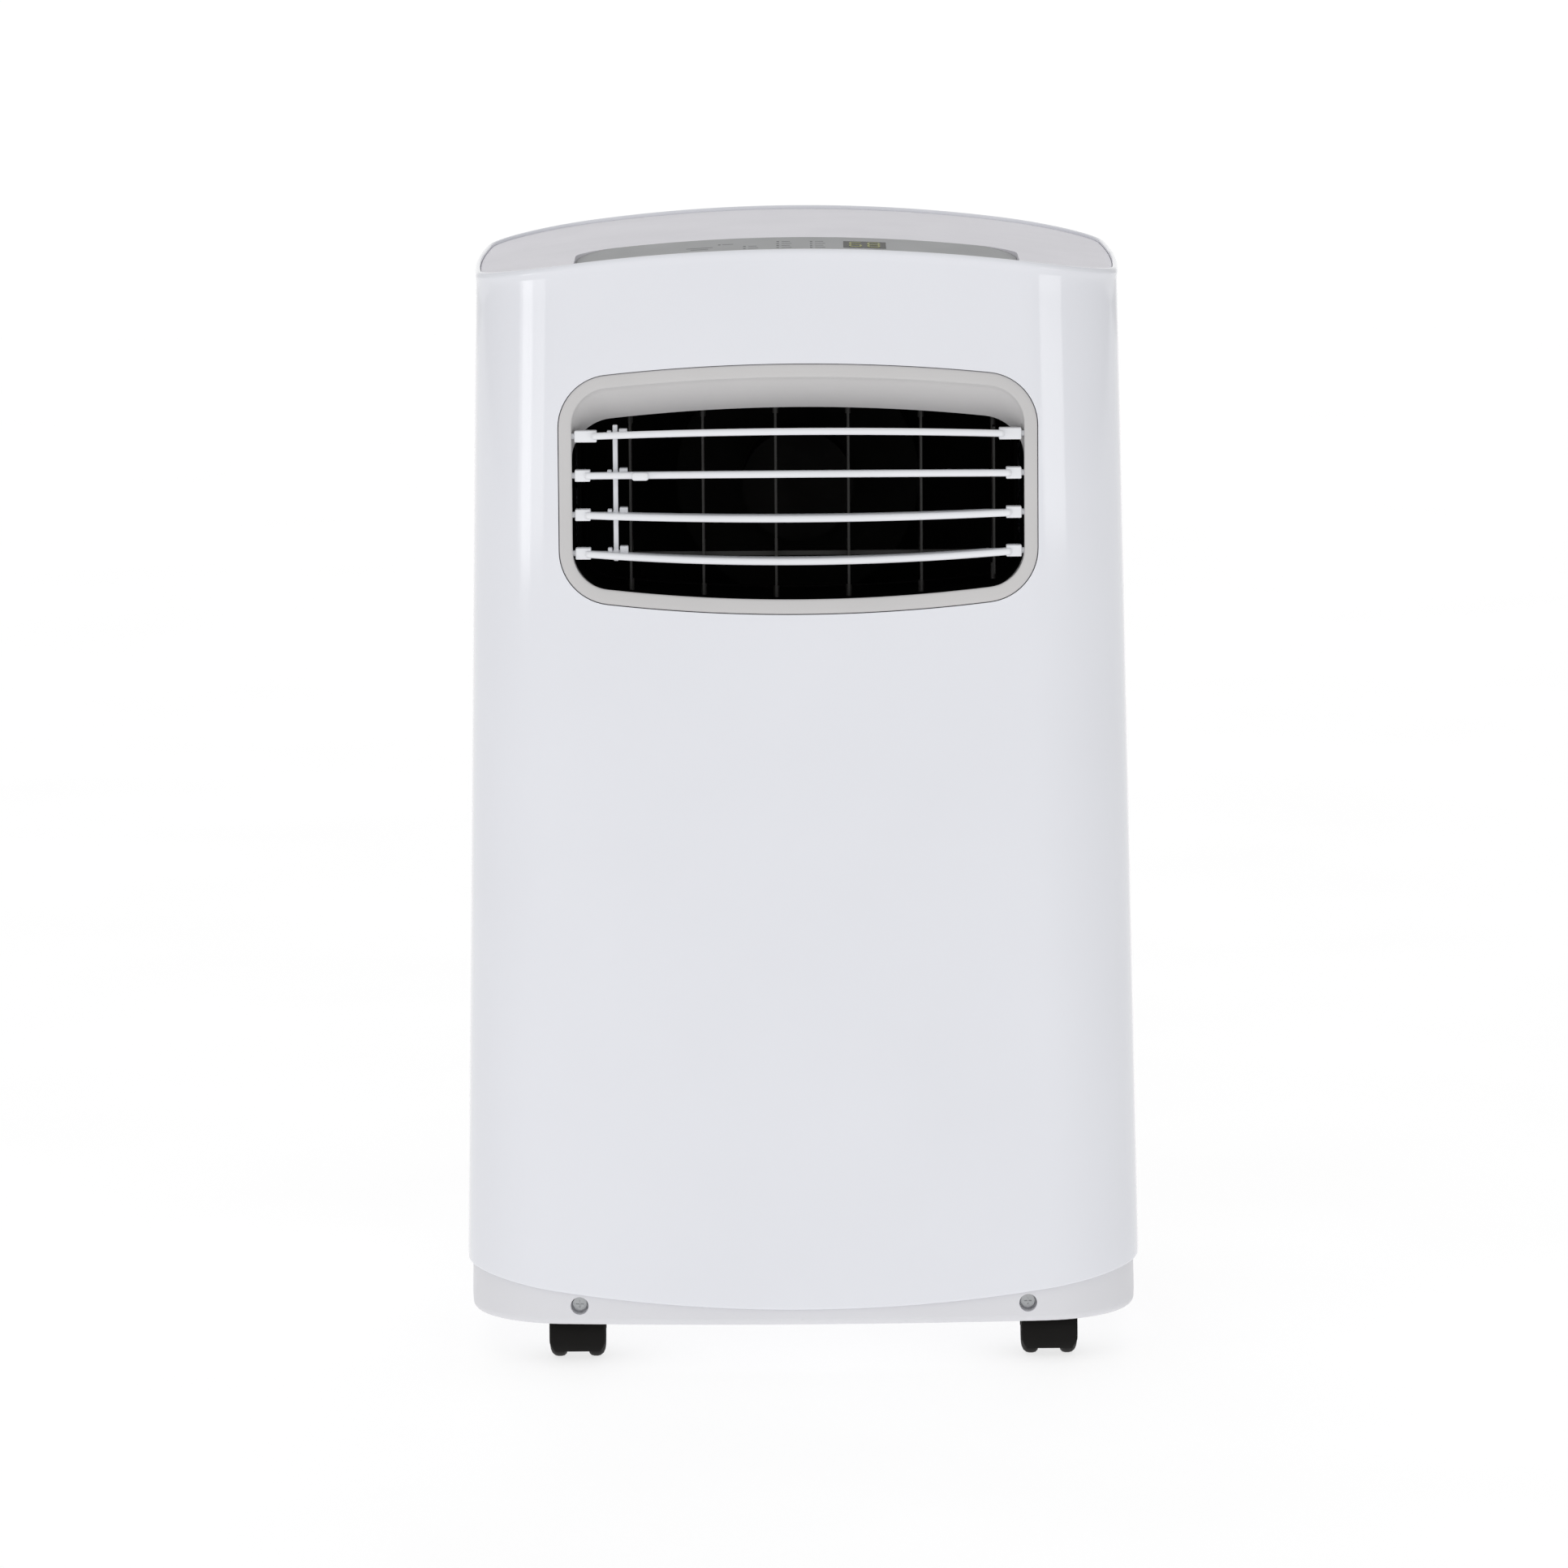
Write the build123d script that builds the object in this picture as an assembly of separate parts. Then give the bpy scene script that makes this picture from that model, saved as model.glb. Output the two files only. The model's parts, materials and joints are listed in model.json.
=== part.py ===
"""Portable air conditioner on casters: casing, controls, louvers, fans, coils and compressor.

Millimetres. X runs to the right as seen from the front, Y runs from front to back and Z is up.
The origin is on the floor, under the middle of the machine.
"""
from build123d import *
import os
from math import atan, cos, degrees, radians, sin, sqrt

# --- Casing -------------------------------------------------------------------------------
REF_Z = 66.0            # height at which the casing's plan is stated
HALF_WIDTH = 234.3      # half width at REF_Z, half way back
SIDE_LEAN = 0.0205      # each side leans in by this much per millimetre of height
SIDE_BULGE = 8.0
FRONT_Y = -190.0        # front face at REF_Z, on the centre line
FRONT_LEAN = 0.008
FRONT_BOW = 14.0
FRONT_CORNER = 73.0
BACK_Y = 182.0
BACK_LEAN = 0.008
BACK_BOW = 10.0
BACK_CORNER = 78.0
MIDDLE_Y = -4.0
WALL = 3.0
SPLIT_Y = 10.0          # the front panel and the rear case meet here
ARCH = 1180.0           # radius of the arched rim, outlet edges and bottom seam
RIM_Z = 763.9           # rim height at the front, on the centre line
RIM_SLOPE = 0.0216      # the rim climbs towards the back
SEAM_Z = 42.3           # lowest point of the front panel's bottom edge
BASE_BOTTOM = 30.7
BASE_TOP = 74.0
BASE_INSET = 3.6

# --- Top cover and controls ---------------------------------------------------------------
COVER_DROP = 2.5        # top cover surface below the rim
COVER_THICK = 3.0
POCKET_FRONT = -178.0   # the control pocket runs back from here
VALLEY_Y = -128.0       # lowest line of the pocket, where the front bevel meets the panel
PANEL_BACK = -62.0
PANEL_SLOPE = 0.158     # the control panel faces the user
PANEL_HALF = 150.0
PANEL_CORNER = 28.0
PANEL_THICK = 2.0
KEY_GAP = 0.25
KEY_Y = -113.0
KEY_DEPTH = 12.0
KEY_PROUD = 0.4
KEYS = {                # centre along X and width
    "key_sleep": (-53.0, 14.5),
    "key_speed": (-30.4, 14.5),
    "key_timer": (-7.8, 14.5),
    "key_mode": (14.5, 14.5),
    "key_cooler": (39.0, 15.5),
    "key_warmer": (56.5, 15.5),
    "key_power": (82.8, 19.0),
}
DISPLAY_X = 46.6
DISPLAY_Y = -83.5
DISPLAY_SIZE = (29.0, 19.0)

# --- Air outlet ---------------------------------------------------------------------------
OUTLET = (161.0, 687.0, 518.6, 36.0)       # half width, top, bottom, corner radius
OUTLET_INNER = (152.0, 678.0, 528.5, 26.0)
MOUTH = (153.0, 656.0, 523.0, 30.0)
MOUTH_Y = -140.0
FLANGE_BACK = -165.0
LINER = 2.5
DUCT_BACK = -58.0
GAP = 0.4

LOUVER_Z = (638.5, 612.0, 585.5, 559.4)
LOUVER_ARC = (2.4, 0.3, -3.1, -5.9)        # rise of the middle over the ends
LOUVER_TILT = (-3.0, -2.0, 0.0, 0.0)
LOUVER_CLIP = (15.0, 10.4, 10.4, 10.4)
CLIP_END = 150.2        # outer face of each louver's end clip
CLIP_SWING_R = 6.8
LOUVER_PIVOT_Y = -172.0
LOUVER_HALF = 141.0
LOUVER_THICK = 4.6
PIN_R = 2.0
PIN_HOLE_R = 2.06
LINK_X = -123.0
LINK_Y = -164.0
LINK_PIN_R = 1.2
TAB_X = -106.0

VANE_X = (-113.7, -64.4, -15.1, 34.2, 83.5, 132.8)
VANE_PIVOT_Y = -118.0
VANE_SWEEP = 9.0
VANE_TIE_Y = -106.0
VANE_TIE_Z = 552.0

# --- Casters ------------------------------------------------------------------------------
CASTERS = {                # stem x, stem y, distance of the axle behind the stem
    "front_left": (-155.5, -140.0, 6.0),
    "front_right": (168.5, -128.0, -6.0),
    "rear_left": (-162.0, 128.0, 6.0),
    "rear_right": (162.0, 128.0, 6.0),
}
WHEEL_R = 17.5
WHEEL_IN = 7.3
WHEEL_OUT = 19.2
FENDER_R = 20.2
WELL_R = 34.0
WELL_TOP = 39.5
STEM_R = 5.5
STEM_TOP = 60.0

# --- Back ---------------------------------------------------------------------------------
UPPER_GRILLE = (0.0, 590.0, 300.0, 220.0)  # centre x, centre z, width, height
LOWER_GRILLE = (0.0, 190.0, 250.0, 190.0)
PORT_X = 60.0
PORT_Z = 380.0
PORT_R = 62.5
HANDLE_Y = 70.0
HANDLE_Z = 640.0
DRAINS = {"drain_cap_upper": (-120.0, 345.0), "drain_cap_lower": (0.0, 66.0)}
GLAND = (150.0, 120.0)
REAR_SCREWS = [(side * 166.0, z) for side in (-1, 1) for z in (320.0, 452.0, 728.0)]
SCREW_R = 1.6
SCREW_HOLE_R = 1.7
FRONT_SCREW_X = 153.0
FRONT_SCREW_Z = 44.2
SCREW_SEAT_Y = -169.4

# --- Inside -------------------------------------------------------------------------------
DECK_Z = 452.0
FAN_UPPER = (0.0, 595.0)
FAN_LOWER = (0.0, 195.0)
WHEEL_FAN_R = 84.0
COMPRESSOR = (-135.0, -108.0)


def sagitta(reach, radius=ARCH):
    return radius - sqrt(radius**2 - reach**2)


def outline(z, inset=0.0):
    """Plan of the casing at height z, moved inwards by inset."""
    rise = z - REF_Z
    side = HALF_WIDTH - SIDE_LEAN * rise - inset
    shoulder = side - SIDE_BULGE
    front = FRONT_Y + FRONT_LEAN * rise + inset
    back = BACK_Y - BACK_LEAN * rise - inset
    front_edge = front + FRONT_BOW
    back_edge = back - BACK_BOW
    with BuildSketch(Plane.XY.offset(z)) as sketch:
        with BuildLine():
            ThreePointArc((-shoulder, front_edge), (0, front), (shoulder, front_edge))
            ThreePointArc((shoulder, front_edge), (side, MIDDLE_Y), (shoulder, back_edge))
            ThreePointArc((shoulder, back_edge), (0, back), (-shoulder, back_edge))
            ThreePointArc((-shoulder, back_edge), (-side, MIDDLE_Y), (-shoulder, front_edge))
        make_face()
        fillet(sketch.vertices().filter_by(lambda v: v.Y < 0), FRONT_CORNER - inset)
        fillet(sketch.vertices().filter_by(lambda v: v.Y > BACK_Y / 2).filter_by(
            lambda v: abs(v.X) > shoulder - 1), BACK_CORNER - inset)
    return sketch.sketch


def casing(inset=0.0, low=0.0, high=820.0):
    """Solid bounded by the casing's walls, between two heights."""
    return loft([outline(low, inset).face(), outline(high, inset).face()], ruled=True)


def under_arch(apex, slope=RIM_SLOPE, pivot_y=FRONT_Y):
    """Everything below an arched surface that climbs by slope and has apex at pivot_y."""
    reach = 320.0
    edge = apex - sagitta(reach)
    with BuildSketch(Plane.XZ) as sketch:
        with BuildLine():
            ThreePointArc((-reach, edge), (0, apex), (reach, edge))
            Polyline((reach, edge), (reach, -300), (-reach, -300), (-reach, edge))
        make_face()
    block = extrude(sketch.sketch, 420, both=True)
    return block.rotate(Axis((0, pivot_y, apex), (1, 0, 0)), degrees(atan(slope)))


def above_seam(lowest):
    """Everything above the arched bottom edge of the casing."""
    reach = 320.0
    edge = lowest + sagitta(reach)
    with BuildSketch(Plane.XZ) as sketch:
        with BuildLine():
            ThreePointArc((-reach, edge), (0, lowest), (reach, edge))
            Polyline((reach, edge), (reach, 1000), (-reach, 1000), (-reach, edge))
        make_face()
    return extrude(sketch.sketch, 420, both=True)


def block(x0, x1, y0, y1, z0, z1):
    return Pos((x0 + x1) / 2, (y0 + y1) / 2, (z0 + z1) / 2) * Box(x1 - x0, y1 - y0, z1 - z0)


def rod_x(radius, x0, x1, y, z):
    return Pos((x0 + x1) / 2, y, z) * Rot(0, 90, 0) * Cylinder(radius, x1 - x0)


def rod_y(radius, y0, y1, x, z):
    return Pos(x, (y0 + y1) / 2, z) * Rot(90, 0, 0) * Cylinder(radius, y1 - y0)


def rod_z(radius, z0, z1, x, y):
    return Pos(x, y, (z0 + z1) / 2) * Cylinder(radius, z1 - z0)


def window(size, y, grow=0.0):
    """Upright rounded window at depth y, with its top and bottom edges bowed outwards."""
    half, top, bottom, corner = size
    half, top, bottom, corner = half + grow, top + grow, bottom - grow, corner + grow
    rise = sagitta(half)
    with BuildSketch(Plane.XZ.offset(-y)) as sketch:
        with BuildLine():
            Line((-half, bottom + rise), (-half, top - rise))
            ThreePointArc((-half, top - rise), (0, top), (half, top - rise))
            Line((half, top - rise), (half, bottom + rise))
            ThreePointArc((half, bottom + rise), (0, bottom), (-half, bottom + rise))
        make_face()
        fillet(sketch.vertices(), corner)
    return sketch.sketch


def window_prism(size, y_front, y_back, grow=0.0):
    return extrude(window(size, y_back, grow), y_back - y_front)


def panel_plane():
    """Plane of the sloping control panel, with its own X and Y axes."""
    tilt = degrees(atan(PANEL_SLOPE))
    return Plane(origin=(0, PANEL_BACK, panel_apex()), x_dir=(1, 0, 0),
                 z_dir=(0, -sin(radians(tilt)), cos(radians(tilt))))


def panel_apex():
    return RIM_Z + RIM_SLOPE * (PANEL_BACK - FRONT_Y) - COVER_DROP


def under_panel(lift=0.0):
    return under_arch(panel_apex() + lift, PANEL_SLOPE, PANEL_BACK)


def under_bevel(lift=0.0):
    """The short surface that falls from the front lip to the panel's lower edge."""
    low = panel_apex() - PANEL_SLOPE * (PANEL_BACK - VALLEY_Y)
    high = RIM_Z - COVER_DROP
    slope = (low - high) / (VALLEY_Y - POCKET_FRONT)
    return under_arch(high + lift, slope, POCKET_FRONT)


def panel_outline(y_front, grow=0.0):
    """Upright prism over the control panel's plan."""
    half = PANEL_HALF + grow
    back = PANEL_BACK + grow
    front = y_front - grow
    with BuildSketch(Plane.XY.offset(600)) as sketch:
        with BuildLine():
            Polyline((-half, front), (half, front), (half, back), (-half, back), close=True)
        make_face()
        fillet(sketch.vertices().group_by(Axis.Y)[-1], PANEL_CORNER + grow)
    return extrude(sketch.sketch, 300)


def panel_prism(x, y, width, depth, low, high):
    """Box that stands square to the control panel; low and high are above its plane."""
    local_y = (y - PANEL_BACK) / cos(atan(PANEL_SLOPE))
    shape = Pos(x, local_y, (low + high) / 2) * Box(width, depth, high - low)
    return panel_plane() * shape


def make_casing():
    shell = (casing() - casing(WALL)) & under_arch(RIM_Z)
    shell &= above_seam(SEAM_Z)
    front_half = block(-300, 300, -300, SPLIT_Y, 0, 900)
    back_half = block(-300, 300, SPLIT_Y, 300, 0, 900)
    return shell & front_half, shell & back_half


def make_front_panel(shell):
    panel = shell - window_prism(OUTLET, -260, -120, GAP)
    for side in (-1, 1):
        x = side * FRONT_SCREW_X
        near, far = SCREW_SEAT_Y + 2.8, SCREW_SEAT_Y + 5.8
        tab = block(x - 11, x + 11, near, far, WELL_TOP + 2.2, 86)
        tab += block(x - 11, x + 11, -184, far, 76, 86) & casing(WALL / 2)
        panel += tab - rod_y(SCREW_HOLE_R, -200, -150, x, FRONT_SCREW_Z)
    return panel


def grille_window(size, y0, y1, grow=0.0):
    x, z, width, height = size
    shape = Pos(x, (y0 + y1) / 2, z) * Box(width + 2 * grow, y1 - y0, height + 2 * grow)
    return fillet(shape.edges().filter_by(Axis.Y), 12 + grow)


def grille(size, pitch=9.0, slot=4.6):
    """Panel that follows the back of the casing, with two columns of slots."""
    x, z, width, height = size
    plate = (casing(0.2) - casing(2.6)) & grille_window(size, 100, 200, -0.6)
    rows = int((height - 24) / pitch)
    column = (width - 32) / 2
    slots = Part()
    for row in range(rows + 1):
        slot_z = z - rows * pitch / 2 + row * pitch
        for side in (-1, 1):
            slot_x = x + side * (column / 2 + 5)
            slots += block(slot_x - column / 2, slot_x + column / 2, 100, 200,
                           slot_z - slot / 2, slot_z + slot / 2)
    return plate - slots


def make_filter():
    x, z, width, height = UPPER_GRILLE
    frame = Pos(x, 163, z) * Box(width - 10, 5, height - 10)
    frame -= Pos(x, 163, z) * Box(width - 26, 6, height - 26)
    for share in (-0.25, 0, 0.25):
        frame += Pos(x + share * width, 163, z) * Box(3, 4, height - 12)
    for share in (-0.25, 0.0, 0.25):
        frame += Pos(x, 163, z + share * height) * Box(width - 12, 4, 3)
    mesh = Pos(x, 163, z) * Box(width - 24, 0.8, height - 24)
    return frame + mesh


def make_rear_case(shell):
    case = shell - grille_window(UPPER_GRILLE, 100, 200) - grille_window(LOWER_GRILLE, 100, 200)
    case -= rod_y(PORT_R + 4.2, 100, 200, PORT_X, PORT_Z)
    for side in (-1, 1):
        reach = side * 186
        edge = side * 240
        low, high = min(reach, edge), max(reach, edge)
        cup = block(low, high, HANDLE_Y - 58, HANDLE_Y + 58, HANDLE_Z - 24, HANDLE_Z + 24)
        pocket = block(low + (WALL if side > 0 else 0), high - (0 if side > 0 else WALL),
                       HANDLE_Y - 55, HANDLE_Y + 55, HANDLE_Z - 21, HANDLE_Z + 21)
        case = (case + (cup & casing())) - pocket
    for x, z in REAR_SCREWS:
        case += rod_y(8, 130, 200, x, z) & casing(0.5)
        case -= rod_y(5.2, 146, 200, x, z)
        case -= rod_y(SCREW_HOLE_R, 120, 200, x, z)
    upper_x, upper_z = DRAINS["drain_cap_upper"]
    case += rod_y(10, 160, 200, upper_x, upper_z) & casing(0.5)
    case -= rod_y(6.0, 150, 200, upper_x, upper_z)
    lower_x, lower_z = DRAINS["drain_cap_lower"]
    case -= rod_y(12, 150, 200, lower_x, lower_z)
    gland_x, gland_z = GLAND
    case -= rod_y(9.0, 150, 200, gland_x, gland_z)
    for side in (-1, 1):
        case += cord_hook(side)
    return case


def cord_hook(side):
    """Upturned hook on the back, on which the mains cord is wound."""
    z = 355 + 12 * side
    arm = block(-184, -170, 160, 188, z - 4, z + 4)
    tip_low, tip_high = (z - 4, z + 18) if side > 0 else (z - 18, z + 4)
    return (arm + block(-184, -170, 184, 190, tip_low, tip_high)) - casing(WALL)


def make_base():
    tray = casing(BASE_INSET, BASE_BOTTOM, BASE_TOP)
    bottom_edges = tray.faces().sort_by(Axis.Z)[0].edges()
    tray = fillet(bottom_edges, 5)
    tray -= casing(BASE_INSET + WALL, BASE_BOTTOM + WALL, BASE_TOP + 5)
    tray &= casing(BASE_INSET, 0, 300)
    for x, y, _ in CASTERS.values():
        tray += rod_z(WELL_R + 2.5, BASE_BOTTOM + 1, WELL_TOP + 2, x, y) & casing(5, 20, 90)
        tray += rod_z(10, WELL_TOP, STEM_TOP + 4, x, y)
        tray -= rod_z(WELL_R, 0, WELL_TOP, x, y) & casing(BASE_INSET + WALL, -10, 90)
        tray -= rod_z(STEM_R + 0.06, 0, STEM_TOP + 0.5, x, y)
    for x in (-FRONT_SCREW_X, FRONT_SCREW_X):
        boss = rod_y(8.6, -190, SCREW_SEAT_Y + 2.6, x, FRONT_SCREW_Z)
        tray += boss & casing(BASE_INSET + 0.5, 20, 90)
        tray -= rod_y(6.1, -200, SCREW_SEAT_Y, x, FRONT_SCREW_Z)
        tray -= rod_y(SCREW_HOLE_R, -200, -150, x, FRONT_SCREW_Z)
    drain_x, drain_z = DRAINS["drain_cap_lower"]
    tray += rod_y(10, 168, 190, drain_x, drain_z) & casing(BASE_INSET, 20, 90)
    tray -= rod_y(6.0, 150, 200, drain_x, drain_z)
    return tray


def make_top_cover():
    inside = casing(WALL + 0.3)
    surface = under_arch(RIM_Z - COVER_DROP)
    skin = inside & surface
    skin -= under_arch(RIM_Z - COVER_DROP - COVER_THICK)
    pocket = panel_outline(POCKET_FRONT, 0.3) & casing(WALL + 2.3)
    rim = (panel_outline(POCKET_FRONT, 2.5) & inside & surface) - pocket
    lower = under_panel(-PANEL_THICK) + under_bevel()
    underside = under_panel(-PANEL_THICK - 2.5) + under_bevel(-2.5)
    tray = (pocket & lower) - underside
    cover = (skin - panel_outline(POCKET_FRONT, 2.5)) + (rim - underside) + tray
    cover -= panel_prism(15, KEY_Y, 168, KEY_DEPTH + 5, -12, 6)
    cover -= panel_prism(DISPLAY_X, DISPLAY_Y, DISPLAY_SIZE[0] + 3, DISPLAY_SIZE[1] + 3, -12, 6)
    return cover


def make_control_panel():
    plate = panel_outline(VALLEY_Y - 1.0, 0.0) & under_panel()
    plate -= under_panel(-PANEL_THICK)
    plate -= under_bevel()
    for x, width in KEYS.values():
        plate -= panel_prism(x, KEY_Y, width + 2 * KEY_GAP, KEY_DEPTH + 2 * KEY_GAP, -12, 8)
    plate -= panel_prism(DISPLAY_X, DISPLAY_Y, *DISPLAY_SIZE, -12, 8)
    return plate


def make_key(x, width):
    cap = panel_prism(x, KEY_Y, width, KEY_DEPTH, -12, 8) & under_panel(KEY_PROUD)
    return cap - under_panel(-PANEL_THICK - 1.2)


def make_display():
    glass = panel_prism(DISPLAY_X, DISPLAY_Y, *DISPLAY_SIZE, -12, 8) & under_panel(0.15)
    return glass - under_panel(-PANEL_THICK)


def funnel(grow=0.0):
    """Hollow of the outlet: the brow slopes down from the front edge to the duct's mouth."""
    return loft([window(OUTLET_INNER, -200, grow).face(), window(MOUTH, MOUTH_Y, grow).face()],
                ruled=True)


def make_bezel():
    bezel = window_prism(OUTLET, -260, FLANGE_BACK) + funnel(LINER)
    bezel = (bezel & casing()) - funnel()
    for z, clip in zip(LOUVER_Z, LOUVER_CLIP):
        for side in (-1, 1):
            hole_x = sorted((side * 147.0, side * 156.0))
            pocket_x = sorted((side * (CLIP_END - clip - 0.6), side * (CLIP_END + 0.5)))
            bezel -= rod_x(PIN_HOLE_R, *hole_x, LOUVER_PIVOT_Y, z)
            bezel -= rod_x(CLIP_SWING_R, *pocket_x, LOUVER_PIVOT_Y, z)
    return bezel


def make_duct():
    duct = window_prism(MOUTH, MOUTH_Y, DUCT_BACK, LINER) - window_prism(MOUTH, -150, 0)
    for x in VANE_X:
        duct -= rod_z(PIN_HOLE_R, 500, 700, x, VANE_PIVOT_Y)
    return duct


def louver_blade(arc):
    """Thin blade that follows the casing's bow and its own arch, about the pivot line."""
    half = LOUVER_HALF
    with BuildSketch() as plan:
        with BuildLine():
            ThreePointArc((-half, -6.5), (0, -10.5), (half, -6.5))
            Polyline((half, -6.5), (half, 4), (half - 14, 18), (14 - half, 18),
                     (-half, 4), (-half, -6.5))
        make_face()
    with BuildSketch(Plane.XZ) as elevation:
        with BuildLine():
            low, high = -LOUVER_THICK / 2, LOUVER_THICK / 2
            ThreePointArc((-half, low), (0, low + arc), (half, low))
            Line((half, low), (half, high))
            ThreePointArc((half, high), (0, high + arc), (-half, high))
            Line((-half, high), (-half, low))
        make_face()
    return extrude(plan.sketch, 30, both=True) & extrude(elevation.sketch, 60, both=True)


def make_louver(index):
    z = LOUVER_Z[index]
    clip = LOUVER_CLIP[index]
    blade = Rot(LOUVER_TILT[index], 0, 0) * louver_blade(LOUVER_ARC[index])
    for side in (-1, 1):
        inner, outer = sorted((side * (CLIP_END - clip), side * CLIP_END))
        blade += block(inner, outer, -4.5, 5, -3.85, 3.85)
        pin = sorted((side * 148.0, side * 155.0))
        blade += rod_x(PIN_R, *pin, 0, 0)
    link_y = LINK_Y - LOUVER_PIVOT_Y
    blade += block(LINK_X + 2.65, LINK_X + 8.2, link_y - 4, link_y + 4, -2, 4.2)
    blade += block(LINK_X - 5.5, LINK_X - 2.65, link_y - 4, link_y + 4, -2, 3.0)
    blade -= block(LINK_X - 2.65, LINK_X + 2.65, link_y - 6, link_y + 6, -20, 20)
    blade += rod_x(LINK_PIN_R, LINK_X - 4, LINK_X + 4, link_y, 0)
    if index == 1:
        blade += block(TAB_X - 5.75, TAB_X + 5.75, -14, -6, -2.4, 2.4)
    return Pos(0, LOUVER_PIVOT_Y, z) * blade


def make_louver_link():
    bar = block(LINK_X - 1.65, LINK_X + 1.65, LINK_Y - 3, LINK_Y + 3,
                LOUVER_Z[3] - 6, LOUVER_Z[0] + 6.8)
    for z in LOUVER_Z:
        bar -= rod_x(LINK_PIN_R + 0.3, LINK_X - 5, LINK_X + 5, LINK_Y, z)
    return bar


def make_vane(x):
    half, top, bottom, corner = MOUTH
    reach = abs(x) + VANE_SWEEP
    roof = top - sagitta(reach) - 1.2
    floor = bottom + sagitta(reach) + 1.2
    if reach > half - corner:
        rounding = sagitta(reach - (half - corner), corner)
        roof -= rounding
        floor += rounding
    notch_top = VANE_TIE_Z + 9
    vane = block(x - 0.8, x + 0.8, VANE_PIVOT_Y - 17, VANE_PIVOT_Y + 17, floor, roof)
    vane -= block(x - 2, x + 2, VANE_TIE_Y - 5, VANE_TIE_Y + 8, floor - 1, notch_top)
    vane += rod_z(1.2, VANE_TIE_Z - 4, notch_top + 0.5, x, VANE_TIE_Y)
    vane += rod_z(PIN_R, floor - 5, floor + 6, x, VANE_PIVOT_Y)
    vane += rod_z(PIN_R, roof - 6, roof + 5, x, VANE_PIVOT_Y)
    return vane


def make_vane_tie():
    bar = block(VANE_X[0] - 4, VANE_X[-1] + 4, VANE_TIE_Y - 3.5, VANE_TIE_Y + 3.5,
                VANE_TIE_Z - 1.5, VANE_TIE_Z + 1.5)
    for x in VANE_X:
        bar -= rod_z(1.6, 500, 600, x, VANE_TIE_Y)
    return bar


def make_caster_hood(x, y, trail):
    """Hood of a twin-wheel caster: centre web, fender over both wheels, and stem."""
    axle_y = y + trail
    web = rod_x(FENDER_R, x - 6.6, x + 6.6, axle_y, WHEEL_R)
    fender = rod_x(FENDER_R, x - WHEEL_OUT, x + WHEEL_OUT, axle_y, WHEEL_R)
    fender -= rod_x(WHEEL_R + 0.8, x - 30, x + 30, axle_y, WHEEL_R)
    hood = web + fender
    hood -= block(x - 30, x + 30, axle_y - 40, axle_y + 40, -20, 6.2)
    hood -= block(x - 30, x + 30, axle_y + 6, axle_y + 40, -20, 15)
    hood += rod_z(STEM_R, WHEEL_R + FENDER_R - 3.5, STEM_TOP, x, y)
    return hood - rod_x(PIN_HOLE_R, x - 30, x + 30, axle_y, WHEEL_R)


def make_caster_wheels(x, y, trail):
    axle_y = y + trail
    wheels = rod_x(PIN_R, x - WHEEL_OUT + 2, x + WHEEL_OUT - 2, axle_y, WHEEL_R)
    for side in (-1, 1):
        face_in, face_out = sorted((x + side * WHEEL_IN, x + side * WHEEL_OUT))
        wheel = rod_x(WHEEL_R, face_in, face_out, axle_y, WHEEL_R)
        outer_face = wheel.faces().sort_by(Axis.X)[-1 if side > 0 else 0]
        wheels += fillet(outer_face.edges(), 4.0)
    return wheels


def make_screw(x, z, seat, head_r, direction):
    """Pan-head screw along Y; direction is the way in."""
    head = sorted((seat, seat - direction * 2.6))
    shank = sorted((seat, seat + direction * 14))
    screw = rod_y(head_r, *head, x, z) + rod_y(SCREW_R, *shank, x, z)
    top = seat - direction * 2.6
    cross = sorted((top - direction * 1, top + direction * 1.4))
    screw -= block(x - 2.6, x + 2.6, *cross, z - 0.5, z + 0.5)
    screw -= block(x - 0.5, x + 0.5, *cross, z - 2.6, z + 2.6)
    return screw


def make_drain_cap(x, z):
    back = BACK_Y - BACK_LEAN * (z - REF_Z) - sagitta(abs(x), 2560)
    if z < BASE_TOP:
        back -= BASE_INSET
    cap = rod_y(9, back + 0.4, back + 4.4, x, z)
    return cap + rod_y(5.93, back - 14, back + 1, x, z)


def make_hose_collar():
    collar = rod_y(PORT_R + 3.9, 164, 190, PORT_X, PORT_Z)
    collar += rod_y(PORT_R + 11, 181.5, 184.5, PORT_X, PORT_Z)
    collar -= rod_y(PORT_R, 150, 200, PORT_X, PORT_Z)
    for side in (-1, 1):
        lug_x = PORT_X + side * (PORT_R + 7)
        collar += block(lug_x - 4, lug_x + 4, 184, 188, PORT_Z - 9, PORT_Z + 9)
    return collar


def make_gland():
    x, z = GLAND
    gland = rod_y(8.9, 162, 179, x, z) + rod_y(12, 178.3, 183, x, z)
    return gland - rod_y(4.0, 150, 200, x, z)


def make_deck():
    """Mid deck with the evaporator's drip tray in its back half."""
    deck = casing(WALL + 2, DECK_Z, DECK_Z + 3)
    deck += block(-172, 172, 82, 152, DECK_Z, DECK_Z + 16)
    deck -= block(-170, 170, 84, 150, DECK_Z + 3, DECK_Z + 20)
    for x, z in REAR_SCREWS:
        deck -= rod_y(9, 125, 200, x, z)
    return deck - block(-204, -178, 60, 92, DECK_Z - 5, DECK_Z + 20)


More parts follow.
